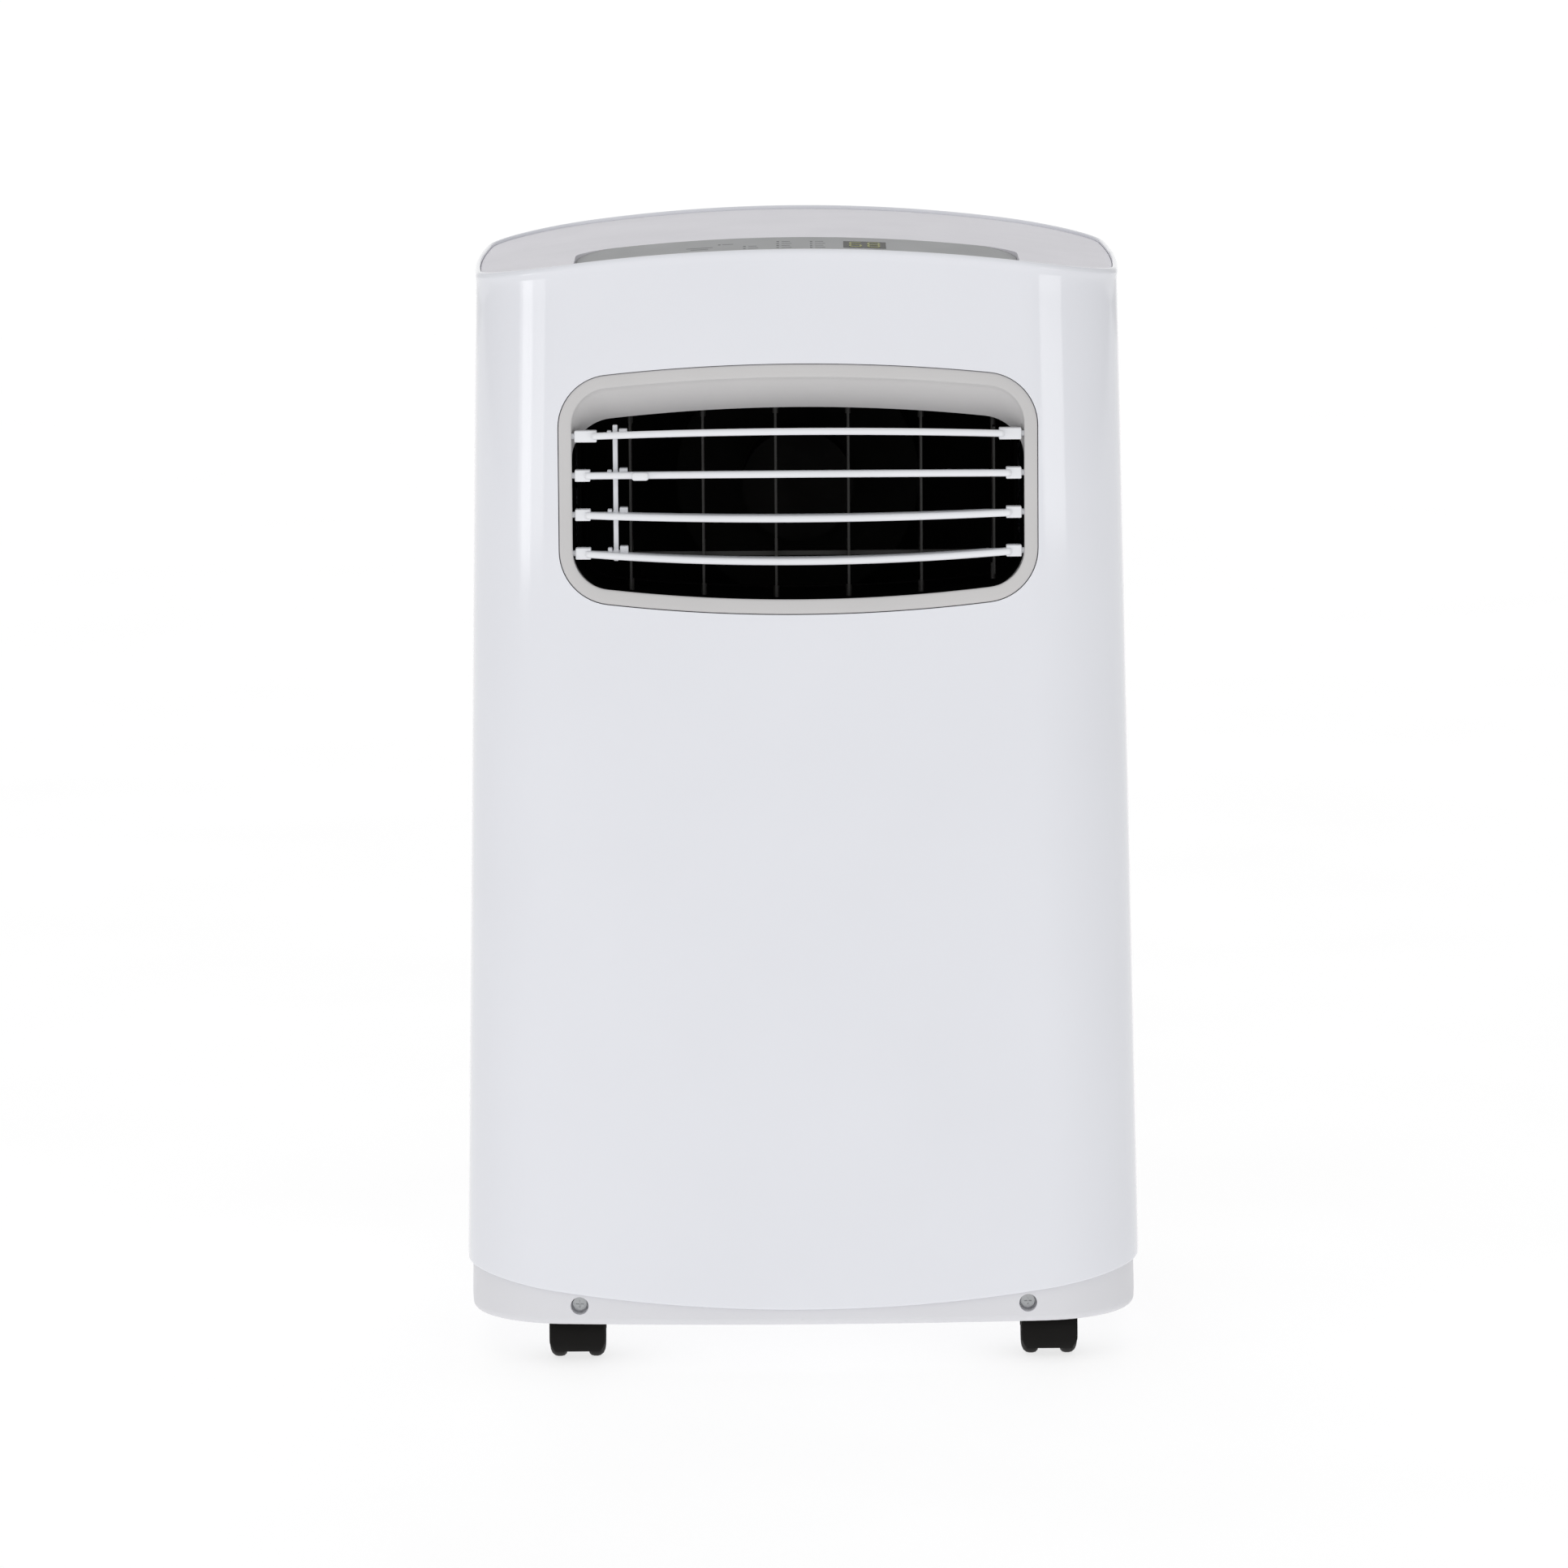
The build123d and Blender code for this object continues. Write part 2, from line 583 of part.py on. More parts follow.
def make_coil(z0, z1, y0=95.0, y1=140.0):
    """Finned coil with end plates and return bends."""
    coil = block(-136, 136, y0 + 1, y1 - 1, z0 + 1, z1 - 1)
    for x in (-137, 137):
        coil += block(x - 1, x + 1, y0, y1, z0, z1)
    bends = int((z1 - z0 - 20) / 40)
    for bend in range(bends):
        z = z0 + 25 + bend * 40
        for side in (-1, 1):
            arch = Pos(side * 138, (y0 + y1) / 2, z) * Rot(90, 0, 0) * Torus(9, 3.4)
            coil += arch & block(*sorted((side * 137, side * 160)), y0, y1, z - 20, z + 20)
    return coil


def make_fan(centre, y_front, y_back, blades=24):
    """Centrifugal wheel with its back plate at the motor side."""
    x, z = centre
    plate = rod_y(WHEEL_FAN_R, y_front, y_front + 2.4, x, z)
    ring = rod_y(WHEEL_FAN_R, y_back - 4, y_back, x, z) - rod_y(WHEEL_FAN_R - 14, y_front, 300, x, z)
    fan = plate + ring + rod_y(16, y_front, y_front + 26, x, z)
    for index in range(blades):
        blade = Pos(WHEEL_FAN_R - 8, 0, 0) * Rot(0, 0, 35) * Box(15, 1.6, y_back - y_front - 1)
        turn = Pos(x, (y_front + y_back) / 2, z) * Rot(90, 0, 0) * Rot(0, 0, index * 360 / blades)
        fan += turn * blade
    return fan - rod_y(4.03, y_front - 1, y_front + 22, x, z)


def make_motor(centre, y_front, shaft_end, radius=38.0, length=46.0):
    x, z = centre
    motor = rod_y(radius, y_front, y_front + length, x, z)
    return motor + rod_y(4.0, y_front + length, shaft_end, x, z)


def make_evaporator_scroll():
    x, z = FAN_UPPER
    outer = block(-152, 152, DUCT_BACK, 62, 502, 688)
    inner = block(-149.5, 149.5, DUCT_BACK + 2.5, 59.5, 504.5, 685.5)
    scroll = outer - inner
    scroll -= window_prism(MOUTH, -70, -40, -1.0)
    return scroll - rod_y(72, 40, 80, x, z)


def make_condenser_scroll():
    """Fan housing with the elbow that carries warm air to the hose collar."""
    x, z = FAN_LOWER
    outer = block(-110, 110, -38, 66, 92, 304) + block(-10, 130, -38, 163, 304, 448)
    inner = block(-107.5, 107.5, -35.5, 63.5, 94.5, 304) + block(-7.5, 127.5, -35.5, 160.5, 306.5, 445.5)
    inner += block(-7.5, 107.5, -35.5, 63.5, 300, 310)
    scroll = outer - inner
    scroll -= rod_y(PORT_R + 2, 150, 200, PORT_X, PORT_Z)
    scroll -= rod_y(72, 50, 80, x, z)
    return scroll - rod_y(39.5, -50, -30, x, z)


def make_compressor():
    x, y = COMPRESSOR
    can = rod_z(50, 72, 250, x, y)
    can = fillet(can.edges(), 14)
    feet = Pos(x, y, 70) * Box(112, 108, 4)
    feet = fillet(feet.edges().filter_by(Axis.Z), 16)
    bottle = rod_z(17, 96, 210, x + 72, y - 12)
    strap = block(x + 44, x + 60, y - 16, y - 8, 150, 158)
    body = can + feet + bottle + strap
    grommets = [rod_z(7, BASE_BOTTOM + WALL, 68, x + dx, y + dy).solid()
                for dx, dy in ((44, -44), (44, 44), (-44, 44))]
    return Compound([body.solid()] + grommets)


def make_pipes():
    """Discharge, liquid and suction pipes between compressor and coils."""
    x, y = COMPRESSOR
    routes = [
        [(x, y, 250), (x, y, 288), (-165, y, 288), (-165, 118, 288), (-138, 118, 288)],
        [(-138, 118, 268), (-186, 118, 268), (-186, 82, 268), (-186, 82, 480), (-186, 118, 480),
         (-138, 118, 480)],
        [(x + 72, y - 12, 210), (x + 72, y - 12, 330), (-196, y - 12, 330), (-196, 72, 330),
         (-196, 72, 517), (-196, 118, 517), (-138, 118, 517)],
    ]
    pipes = Part()
    for route, radius in zip(routes, (4.0, 3.2, 5.0)):
        path = FilletPolyline(*route, radius=12)
        start = Plane(origin=path @ 0, z_dir=path % 0)
        pipes += sweep(start * Circle(radius), path=path)
    return pipes


def make_control_box():
    box = block(30, 180, -160, -112, 360, 444)
    box -= block(32, 178, -158, -108, 362, 442)
    board = block(40, 170, -150, -148.4, 368, 436)
    post_positions = [(px, pz) for px in (46, 164) for pz in (374, 430)]
    for px, pz in post_positions:
        board += rod_y(3, -158, -150, px, pz)
    return box + board


def build_nodes():
    front_shell, back_shell = make_casing()
    nodes = {
        "front_panel": make_front_panel(front_shell),
        "rear_case": make_rear_case(back_shell),
        "base_tray": make_base(),
        "top_cover": make_top_cover(),
        "control_panel": make_control_panel(),
        "display_window": make_display(),
        "outlet_bezel": make_bezel(),
        "outlet_duct": make_duct(),
        "louver_link": make_louver_link(),
        "vane_tie_bar": make_vane_tie(),
        "upper_grille": grille(UPPER_GRILLE),
        "upper_filter": make_filter(),
        "lower_grille": grille(LOWER_GRILLE),
        "hose_collar": make_hose_collar(),
        "cord_gland": make_gland(),
        "mid_deck": make_deck(),
        "evaporator_coil": make_coil(472, 700),
        "evaporator_scroll": make_evaporator_scroll(),
        "evaporator_motor": make_motor(FAN_UPPER, -76, 2, 38, 48),
        "evaporator_fan": make_fan(FAN_UPPER, -20, 52),
        "condenser_coil": make_coil(84, 298),
        "condenser_scroll": make_condenser_scroll(),
        "condenser_motor": make_motor(FAN_LOWER, -82, 0),
        "condenser_fan": make_fan(FAN_LOWER, -22, 54),
        "compressor": make_compressor(),
        "refrigerant_pipes": make_pipes(),
        "control_box": make_control_box(),
        "run_capacitor": rod_z(21, 262, 352, 150, -120),
        "slinger_motor": rod_y(20, 34, 74, 165, 92) + rod_y(3, 74, 92, 165, 92),
        "slinger_wheel": rod_y(42, 84, 88, 165, 92) + rod_y(9, 80, 92, 165, 92)
                         - rod_y(3.05, 70, 95, 165, 92),
        "float_switch": rod_z(11, 42, 66, -168, 70) + rod_z(3, 42, 84, -168, 70),
    }
    for name, (x, width) in KEYS.items():
        nodes[name] = make_key(x, width)
    for index in range(len(LOUVER_Z)):
        nodes[f"louver_{index + 1}"] = make_louver(index)
    for index, x in enumerate(VANE_X):
        nodes[f"vane_{index + 1}"] = make_vane(x)
    for name, (x, z) in DRAINS.items():
        nodes[name] = make_drain_cap(x, z)
    for corner, place in CASTERS.items():
        nodes[f"caster_{corner}_hood"] = make_caster_hood(*place)
        nodes[f"caster_{corner}_wheels"] = make_caster_wheels(*place)
    nodes["front_screws"] = Compound([make_screw(x, FRONT_SCREW_Z, SCREW_SEAT_Y, 4.75, 1).solid()
                                      for x in (-FRONT_SCREW_X, FRONT_SCREW_X)])
    nodes["rear_screws"] = Compound([make_screw(x, z, 146, 4.6, -1).solid()
                                     for x, z in REAR_SCREWS])
    return nodes


os.makedirs("parts", exist_ok=True)
for node_name, node_shape in build_nodes().items():
    export_step(node_shape, f"parts/{node_name}.step")
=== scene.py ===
"""Portable air conditioner on casters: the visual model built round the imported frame.

Shapes are worked out in millimetres in the frame's own axes: X to the right as seen from the
front, Y from front to back, Z up from the floor. Meshes are scaled to metres as they are made.
"""
import json
from math import atan2, copysign, cos, degrees, hypot, pi, radians, sin, sqrt

import bmesh
import bpy
from mathutils import Matrix, Vector


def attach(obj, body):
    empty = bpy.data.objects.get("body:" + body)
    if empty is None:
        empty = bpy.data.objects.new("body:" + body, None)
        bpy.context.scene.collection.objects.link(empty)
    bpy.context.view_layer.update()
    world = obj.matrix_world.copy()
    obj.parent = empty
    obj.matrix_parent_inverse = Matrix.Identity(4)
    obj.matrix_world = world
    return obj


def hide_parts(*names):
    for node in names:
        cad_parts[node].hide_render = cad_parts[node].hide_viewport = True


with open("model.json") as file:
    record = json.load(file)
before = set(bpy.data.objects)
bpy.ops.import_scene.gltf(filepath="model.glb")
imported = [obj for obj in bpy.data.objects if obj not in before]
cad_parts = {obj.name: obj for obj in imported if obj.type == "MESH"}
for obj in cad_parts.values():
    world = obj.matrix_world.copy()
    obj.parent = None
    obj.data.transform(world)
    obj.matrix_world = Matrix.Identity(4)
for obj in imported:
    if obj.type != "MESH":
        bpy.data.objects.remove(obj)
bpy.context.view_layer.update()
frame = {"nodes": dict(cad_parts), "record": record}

MM = 0.001
NODES = frame["nodes"]

# --- Casing: the same driving dimensions as the CAD model, in millimetres -------------------
REF_Z = 66.0
HALF_WIDTH = 234.3
SIDE_LEAN = 0.0205
SIDE_BULGE = 8.0
FRONT_Y = -190.0
FRONT_LEAN = 0.008
FRONT_BOW = 14.0
FRONT_CORNER = 73.0
BACK_Y = 182.0
BACK_LEAN = 0.008
BACK_BOW = 10.0
BACK_CORNER = 78.0
MIDDLE_Y = -4.0
SPLIT_Y = 10.0
SPLIT_GAP = 0.5
WALL = 3.0
ARCH = 1180.0
RIM_Z = 763.9
RIM_SLOPE = 0.0216
SEAM_Z = 42.3

COVER_DROP = 2.5
PANEL_BACK = -62.0
PANEL_SLOPE = 0.158

OUTLET = (161.0, 687.0, 518.6, 36.0)
OUTLET_INNER = (152.0, 678.0, 528.5, 26.0)
MOUTH = (153.0, 656.0, 523.0, 30.0)
MOUTH_Y = -140.0
FLANGE_BACK = -165.0
BROW_BACK_Y = -158.0
LOUVER_Z = (638.5, 612.0, 585.5, 559.4)
LOUVER_ARC = (2.4, 0.3, -3.1, -5.9)
LOUVER_TILT = (-3.0, -2.0, 0.0, 0.0)
LOUVER_CLIP = (15.0, 10.4, 10.4, 10.4)
LOUVER_PIVOT_Y = -172.0
CLIP_END = 150.2
STATIONS = 72
LINK_X = -123.0
LINK_Y = -164.0
TAB_X = -106.0

CASTERS = {                 # stem x, stem y, distance of the axle behind the stem
    "front_left": (-155.5, -140.0, 6.0),
    "front_right": (168.5, -128.0, -6.0),
    "rear_left": (-162.0, 128.0, 6.0),
    "rear_right": (162.0, 128.0, 6.0),
}
WHEEL_R = 17.5
WHEEL_OUT = 19.2
FENDER_R = 20.2

UPPER_GRILLE = (0.0, 590.0, 300.0, 220.0)   # centre x, centre z, width, height
LOWER_GRILLE = (0.0, 190.0, 250.0, 190.0)
PORT = (60.0, 380.0, 66.7)                  # x, z, radius of the hole round the collar
GRILLE_CORNER = 12.0
HANDLE_Y = 70.0
HANDLE_Z = 640.0
HANDLE_HOLD = (55.0, 21.0)                  # half length and half height of the opening
HANDLE_CUP = (58.0, 24.0)                   # the same for the cup behind it
BACK_CUT = (140.0, 230.0)                   # reach in Y of a cut through the back
SCREW_RECESS_R = 5.2
REAR_BORES = [(-120.0, 345.0, 6.0), (0.0, 66.0, 12.0), (150.0, 120.0, 9.0)]  # x, z, radius
REAR_SCREWS = [(side * 166.0, z) for side in (-1, 1) for z in (320.0, 452.0, 728.0)]

KEYS = ((-53.0, 14.5), (-30.4, 14.5), (-7.8, 14.5), (14.5, 14.5), (39.0, 15.5), (56.5, 15.5),
        (82.8, 19.0))                       # x, width
DISPLAY = (46.6, -83.5)                     # x, y of its middle
LAMP_ROWS = ((-35.3, 2), (-12.6, 4), (10.2, 4))     # x, number of lamps
LAMP_Y = -93.0
LAMP_PITCH = 6.0
SINGLE_LAMP = (-52.5, -79.0)


# --- Small geometry helpers -----------------------------------------------------------------
def sagitta(reach, radius=ARCH):
    return radius - sqrt(radius**2 - reach**2)


def circle_through(p, q, r):
    """Centre and radius of the circle through three points."""
    (ax, ay), (bx, by), (cx, cy) = p, q, r
    d = 2 * (ax * (by - cy) + bx * (cy - ay) + cx * (ay - by))
    a2, b2, c2 = ax * ax + ay * ay, bx * bx + by * by, cx * cx + cy * cy
    ux = (a2 * (by - cy) + b2 * (cy - ay) + c2 * (ay - by)) / d
    uy = (a2 * (cx - bx) + b2 * (ax - cx) + c2 * (bx - ax)) / d
    return (ux, uy), hypot(ax - ux, ay - uy)


def circles_meet(p, rp, q, rq, near):
    """The point where two circles cross that is nearer to a given point."""
    dx, dy = q[0] - p[0], q[1] - p[1]
    d = hypot(dx, dy)
    a = (rp * rp - rq * rq + d * d) / (2 * d)
    h = sqrt(max(rp * rp - a * a, 0.0))
    mx, my = p[0] + a * dx / d, p[1] + a * dy / d
    options = [(mx + h * dy / d, my - h * dx / d), (mx - h * dy / d, my + h * dx / d)]
    return min(options, key=lambda o: hypot(o[0] - near[0], o[1] - near[1]))


def arc_points(centre, radius, start, end, count):
    """Points from one end of an arc to the other, without the last one."""
    a0 = atan2(start[1] - centre[1], start[0] - centre[0])
    a1 = atan2(end[1] - centre[1], end[0] - centre[0])
    if a1 - a0 > pi:
        a1 -= 2 * pi
    if a0 - a1 > pi:
        a1 += 2 * pi
    steps = [a0 + (a1 - a0) * i / count for i in range(count)]
    return [(centre[0] + radius * cos(a), centre[1] + radius * sin(a)) for a in steps]


def toward(centre, through, radius):
    d = hypot(through[0] - centre[0], through[1] - centre[1])
    return (centre[0] + (through[0] - centre[0]) * radius / d,
            centre[1] + (through[1] - centre[1]) * radius / d)


def plan(z, inset=0.0, detail=1.0):
    """Right half of the casing's plan at height z: front points and back points.

    The front list runs from the centre line to the split, the back list from the split
    to the centre line at the back.
    """
    rise = z - REF_Z
    side = HALF_WIDTH - SIDE_LEAN * rise - inset
    shoulder = side - SIDE_BULGE
    front = FRONT_Y + FRONT_LEAN * rise + inset
    back = BACK_Y - BACK_LEAN * rise - inset
    corner_f = (shoulder, front + FRONT_BOW)
    corner_b = (shoulder, back - BACK_BOW)
    f_centre, f_radius = circle_through((-shoulder, corner_f[1]), (0, front), corner_f)
    s_centre, s_radius = circle_through(corner_f, (side, MIDDLE_Y), corner_b)
    b_centre, b_radius = circle_through(corner_b, (0, back), (-shoulder, corner_b[1]))
    rf, rb = FRONT_CORNER - inset, BACK_CORNER - inset
    cf = circles_meet(f_centre, f_radius - rf, s_centre, s_radius - rf, corner_f)
    cb = circles_meet(b_centre, b_radius - rb, s_centre, s_radius - rb, corner_b)
    split, rear_split = ((s_centre[0] + sqrt(s_radius**2 - (y - s_centre[1])**2), y)
                         for y in (SPLIT_Y, SPLIT_Y + SPLIT_GAP))
    t1, t2 = toward(f_centre, cf, f_radius), toward(s_centre, cf, s_radius)
    t3, t4 = toward(s_centre, cb, s_radius), toward(b_centre, cb, b_radius)
    n = [int(k * detail) for k in (44, 26, 12)]
    fronts = arc_points(f_centre, f_radius, (0, front), t1, n[0])
    fronts += arc_points(cf, rf, t1, t2, n[1])
    fronts += arc_points(s_centre, s_radius, t2, split, n[2]) + [split]
    backs = arc_points(s_centre, s_radius, rear_split, t3, n[2])
    backs += arc_points(cb, rb, t3, t4, n[1])
    backs += arc_points(b_centre, b_radius, t4, (0, back), n[0]) + [(0, back)]
    return fronts, backs


def front_surface(x, z):
    """Y of the casing's outer front surface above or beside the outlet."""
    fronts, _ = plan(z, 0.0, 0.5)
    x = abs(x)
    for (x0, y0), (x1, y1) in zip(fronts, fronts[1:]):
        if x <= x1:
            return y0 + (y1 - y0) * (x - x0) / (x1 - x0)
    return fronts[-1][1]


def back_surface(x, z):
    """Y of the casing's outer back surface."""
    _, backs = plan(z, 0.0, 0.5)
    for (x1, y1), (x0, y0) in zip(backs[::-1][1:], backs[::-1]):
        if abs(x) <= x1:
            return y0 + (y1 - y0) * (abs(x) - x0) / (x1 - x0)
    return backs[0][1]


def rim_height(x, y):
    return RIM_Z + RIM_SLOPE * (y - FRONT_Y) - sagitta(abs(x))


def seam_height(x):
    return SEAM_Z + sagitta(abs(x))


def panel_height(x, y):
    back = RIM_Z + RIM_SLOPE * (PANEL_BACK - FRONT_Y) - COVER_DROP
    return back - PANEL_SLOPE * (PANEL_BACK - y) - sagitta(abs(x))


def make_mesh(name, points, faces, smooth=35.0):
    """Object from points in millimetres, with smooth faces and sharp edges by angle."""
    mesh = bpy.data.meshes.new(name)
    mesh.from_pydata([(x * MM, y * MM, z * MM) for x, y, z in points], [], faces)
    mesh.validate()
    obj = bpy.data.objects.new(name, mesh)
    bpy.context.scene.collection.objects.link(obj)
    tidy_normals(obj, smooth)
    return obj


def shade(mesh, smooth):
    """Smooth faces, with edges sharper than the angle kept sharp."""
    for polygon in mesh.polygons:
        polygon.use_smooth = True
    mesh.set_sharp_from_angle(angle=radians(smooth))


def tidy_normals(obj, smooth=35.0):
    """Welds doubled points, turns the faces outwards and shades the mesh."""
    work = bmesh.new()
    work.from_mesh(obj.data)
    bmesh.ops.remove_doubles(work, verts=work.verts, dist=1e-6)
    bmesh.ops.recalc_face_normals(work, faces=work.faces)
    work.to_mesh(obj.data)
    work.free()
    shade(obj.data, smooth)


def grid(name, rows, closed_u=False, closed_v=False, caps=(), smooth=35.0):
    """Mesh over rows of points; closed_u joins each row's ends, closed_v the first and last."""
    nu, nv = len(rows[0]), len(rows)
    points = [p for row in rows for p in row]
    faces = []
    for v in range(nv if closed_v else nv - 1):
        for u in range(nu if closed_u else nu - 1):
            a, b = v * nu + u, v * nu + (u + 1) % nu
            c, d = ((v + 1) % nv) * nu + (u + 1) % nu, ((v + 1) % nv) * nu + u
            faces.append((a, b, c, d))
    if "start" in caps:
        faces.append(tuple(range(nu)))
    if "end" in caps:
        faces.append(tuple((nv - 1) * nu + u for u in range(nu)))
    return make_mesh(name, points, faces, smooth)


def boolean(obj, cutter, operation="DIFFERENCE", smooth=35.0):
    """Cuts obj with cutter, applies the result and deletes the cutter."""
    modifier = obj.modifiers.new("cut", "BOOLEAN")
    modifier.object = cutter
    modifier.operation = operation
    modifier.solver = "EXACT"
    depsgraph = bpy.context.evaluated_depsgraph_get()
    result = bpy.data.meshes.new_from_object(obj.evaluated_get(depsgraph))
    obj.modifiers.clear()
    old = obj.data
    obj.data = result
    bpy.data.meshes.remove(old)
    bpy.data.objects.remove(cutter)
    shade(obj.data, smooth)
    return obj


def join(name, objects):
    """One object from several closed pieces."""
    work = bmesh.new()
    for obj in objects:
        obj.data.transform(obj.matrix_world)
        work.from_mesh(obj.data)
        bpy.data.objects.remove(obj)
    mesh = bpy.data.meshes.new(name)
    work.to_mesh(mesh)
    work.free()
    obj = bpy.data.objects.new(name, mesh)
    bpy.context.scene.collection.objects.link(obj)
    return obj


def rounded_box(name, x0, x1, y0, y1, z0, z1, radius, segments=3):
    """Closed box with rounded edges, in millimetres."""
    work = bmesh.new()
    bmesh.ops.create_cube(work, size=1.0)
    for vert in work.verts:
        vert.co = Vector(((x0 + x1) / 2 + vert.co.x * (x1 - x0),
                          (y0 + y1) / 2 + vert.co.y * (y1 - y0),
                          (z0 + z1) / 2 + vert.co.z * (z1 - z0)))
    bmesh.ops.bevel(work, geom=list(work.edges), offset=radius, segments=segments,
                    profile=0.5, affect="EDGES")
    bmesh.ops.recalc_face_normals(work, faces=work.faces)
    bmesh.ops.scale(work, vec=(MM, MM, MM), verts=work.verts)
    mesh = bpy.data.meshes.new(name)
    work.to_mesh(mesh)
    work.free()
    shade(mesh, 40.0)
    obj = bpy.data.objects.new(name, mesh)
    bpy.context.scene.collection.objects.link(obj)
    return obj


def lathe(name, profile, centre, axis, segments=48, smooth=30.0):
    """Closed profile of (radius, distance along axis) turned about a line through centre."""
    frame_axes = {"X": ((0, 1, 0), (0, 0, 1), (1, 0, 0)),
                  "Y": ((1, 0, 0), (0, 0, 1), (0, 1, 0)),
                  "Z": ((1, 0, 0), (0, 1, 0), (0, 0, 1))}[axis]
    u, v, w = (Vector(a) for a in frame_axes)
    rows = []
    for step in range(segments):
        turn = 2 * pi * step / segments
        rows.append([Vector(centre) + (u * cos(turn) + v * sin(turn)) * r + w * d
                     for r, d in profile])
    return grid(name, rows, closed_u=True, closed_v=True, smooth=smooth)


# --- Materials ------------------------------------------------------------------------------
def new_material(name, roughness, coat=0.0, coat_roughness=0.05, metallic=0.0, specular=0.5):
    material = bpy.data.materials.new(name)
    material.use_nodes = True
    shader = material.node_tree.nodes["Principled BSDF"]
    shader.inputs["Metallic"].default_value = metallic
    shader.inputs["Roughness"].default_value = roughness
    shader.inputs["Coat Weight"].default_value = coat
    shader.inputs["Coat Roughness"].default_value = coat_roughness
    shader.inputs["Specular IOR Level"].default_value = specular
    return material, material.node_tree, shader


def noise(tree, scale, detail=2.0, roughness=0.5, stretch=(1, 1, 1)):
    """Noise texture in the object's own coordinates, in cycles per metre."""
    coords = tree.nodes.new("ShaderNodeTexCoord")
    mapping = tree.nodes.new("ShaderNodeMapping")
    mapping.inputs["Scale"].default_value = stretch
    texture = tree.nodes.new("ShaderNodeTexNoise")
    texture.inputs["Scale"].default_value = scale
    texture.inputs["Detail"].default_value = detail
    texture.inputs["Roughness"].default_value = roughness
    tree.links.new(coords.outputs["Object"], mapping.inputs["Vector"])
    tree.links.new(mapping.outputs["Vector"], texture.inputs["Vector"])
    return texture


def vary_colour(tree, shader, low, high, texture):
    """Base colour that drifts between two close tones."""
    ramp = tree.nodes.new("ShaderNodeValToRGB")
    ramp.color_ramp.elements[0].position = 0.3
    ramp.color_ramp.elements[1].position = 0.7
    ramp.color_ramp.elements[0].color = (*low, 1)
    ramp.color_ramp.elements[1].color = (*high, 1)
    tree.links.new(texture.outputs["Fac"], ramp.inputs["Fac"])
    tree.links.new(ramp.outputs["Color"], shader.inputs["Base Color"])


def vary_roughness(tree, shader, low, high, texture):
    span = tree.nodes.new("ShaderNodeMapRange")
    span.inputs["From Min"].default_value = 0.3
    span.inputs["From Max"].default_value = 0.7
    span.inputs["To Min"].default_value = low
    span.inputs["To Max"].default_value = high
    tree.links.new(texture.outputs["Fac"], span.inputs["Value"])
    tree.links.new(span.outputs["Result"], shader.inputs["Roughness"])


def add_bump(tree, shader, texture, strength, distance):
    bump = tree.nodes.new("ShaderNodeBump")
    bump.inputs["Strength"].default_value = strength
    bump.inputs["Distance"].default_value = distance
    tree.links.new(texture.outputs["Fac"], bump.inputs["Height"])
    tree.links.new(bump.outputs["Normal"], shader.inputs["Normal"])


def moulded(name, colour, roughness, grain=0.0, grain_scale=900.0, coat=0.0, drift=0.03,
            specular=0.5):
    """Moulded plastic: faint tone drift, uneven gloss and, where wanted, spark-eroded grain."""
    material, tree, shader = new_material(name, roughness, coat, specular=specular)
    low = tuple(c * (1 - drift) for c in colour)
    high = tuple(min(c * (1 + drift), 1.0) for c in colour)
    vary_colour(tree, shader, low, high, noise(tree, 9.0, 3.0))
    vary_roughness(tree, shader, roughness * 0.9, roughness * 1.12, noise(tree, 40.0, 4.0))
    if grain:
        add_bump(tree, shader, noise(tree, grain_scale, 3.0, 0.6), grain, 0.0003)
    else:
        add_bump(tree, shader, noise(tree, 26.0, 1.0, 0.3), 0.05, 0.0006)
    return material


def metal(name, colour, roughness, stretch=(1, 1, 1), scale=400.0):
    material, tree, shader = new_material(name, roughness, metallic=1.0)
    low = tuple(c * 0.9 for c in colour)
    high = tuple(min(c * 1.06, 1.0) for c in colour)
    vary_colour(tree, shader, low, high, noise(tree, scale / 4, 3.0, stretch=stretch))
    vary_roughness(tree, shader, roughness * 0.8, roughness * 1.3,
                   noise(tree, scale, 4.0, stretch=stretch))
    add_bump(tree, shader, noise(tree, scale, 3.0, stretch=stretch), 0.12, 0.0002)
    return material


def glowing(name, colour, strength):
    material, tree, shader = new_material(name, 0.4)
    vary_colour(tree, shader, tuple(c * 0.92 for c in colour), colour, noise(tree, 300.0))
    shader.inputs["Emission Color"].default_value = (*colour, 1)
    shader.inputs["Emission Strength"].default_value = strength
    return material


def fins_and_painted_gap_shade(name, colour):
    """Aluminium fins: fine upright bands across the coil's face, darkened between the fins with
    painted shade.
    """
    material, tree, shader = new_material(name, 0.35, metallic=1.0)
    coords = tree.nodes.new("ShaderNodeTexCoord")
    wave = tree.nodes.new("ShaderNodeTexWave")
    wave.bands_direction = "X"
    wave.inputs["Scale"].default_value = 170.0
    wave.inputs["Distortion"].default_value = 0.4
    tree.links.new(coords.outputs["Object"], wave.inputs["Vector"])
    # The dark tone of the bands is painted shade in the gaps between the fins, not a colour of the
    # aluminium.
    low = tuple(c * 0.25 for c in colour)
    vary_colour(tree, shader, low, colour, wave)
    add_bump(tree, shader, wave, 0.8, 0.001)
    return material


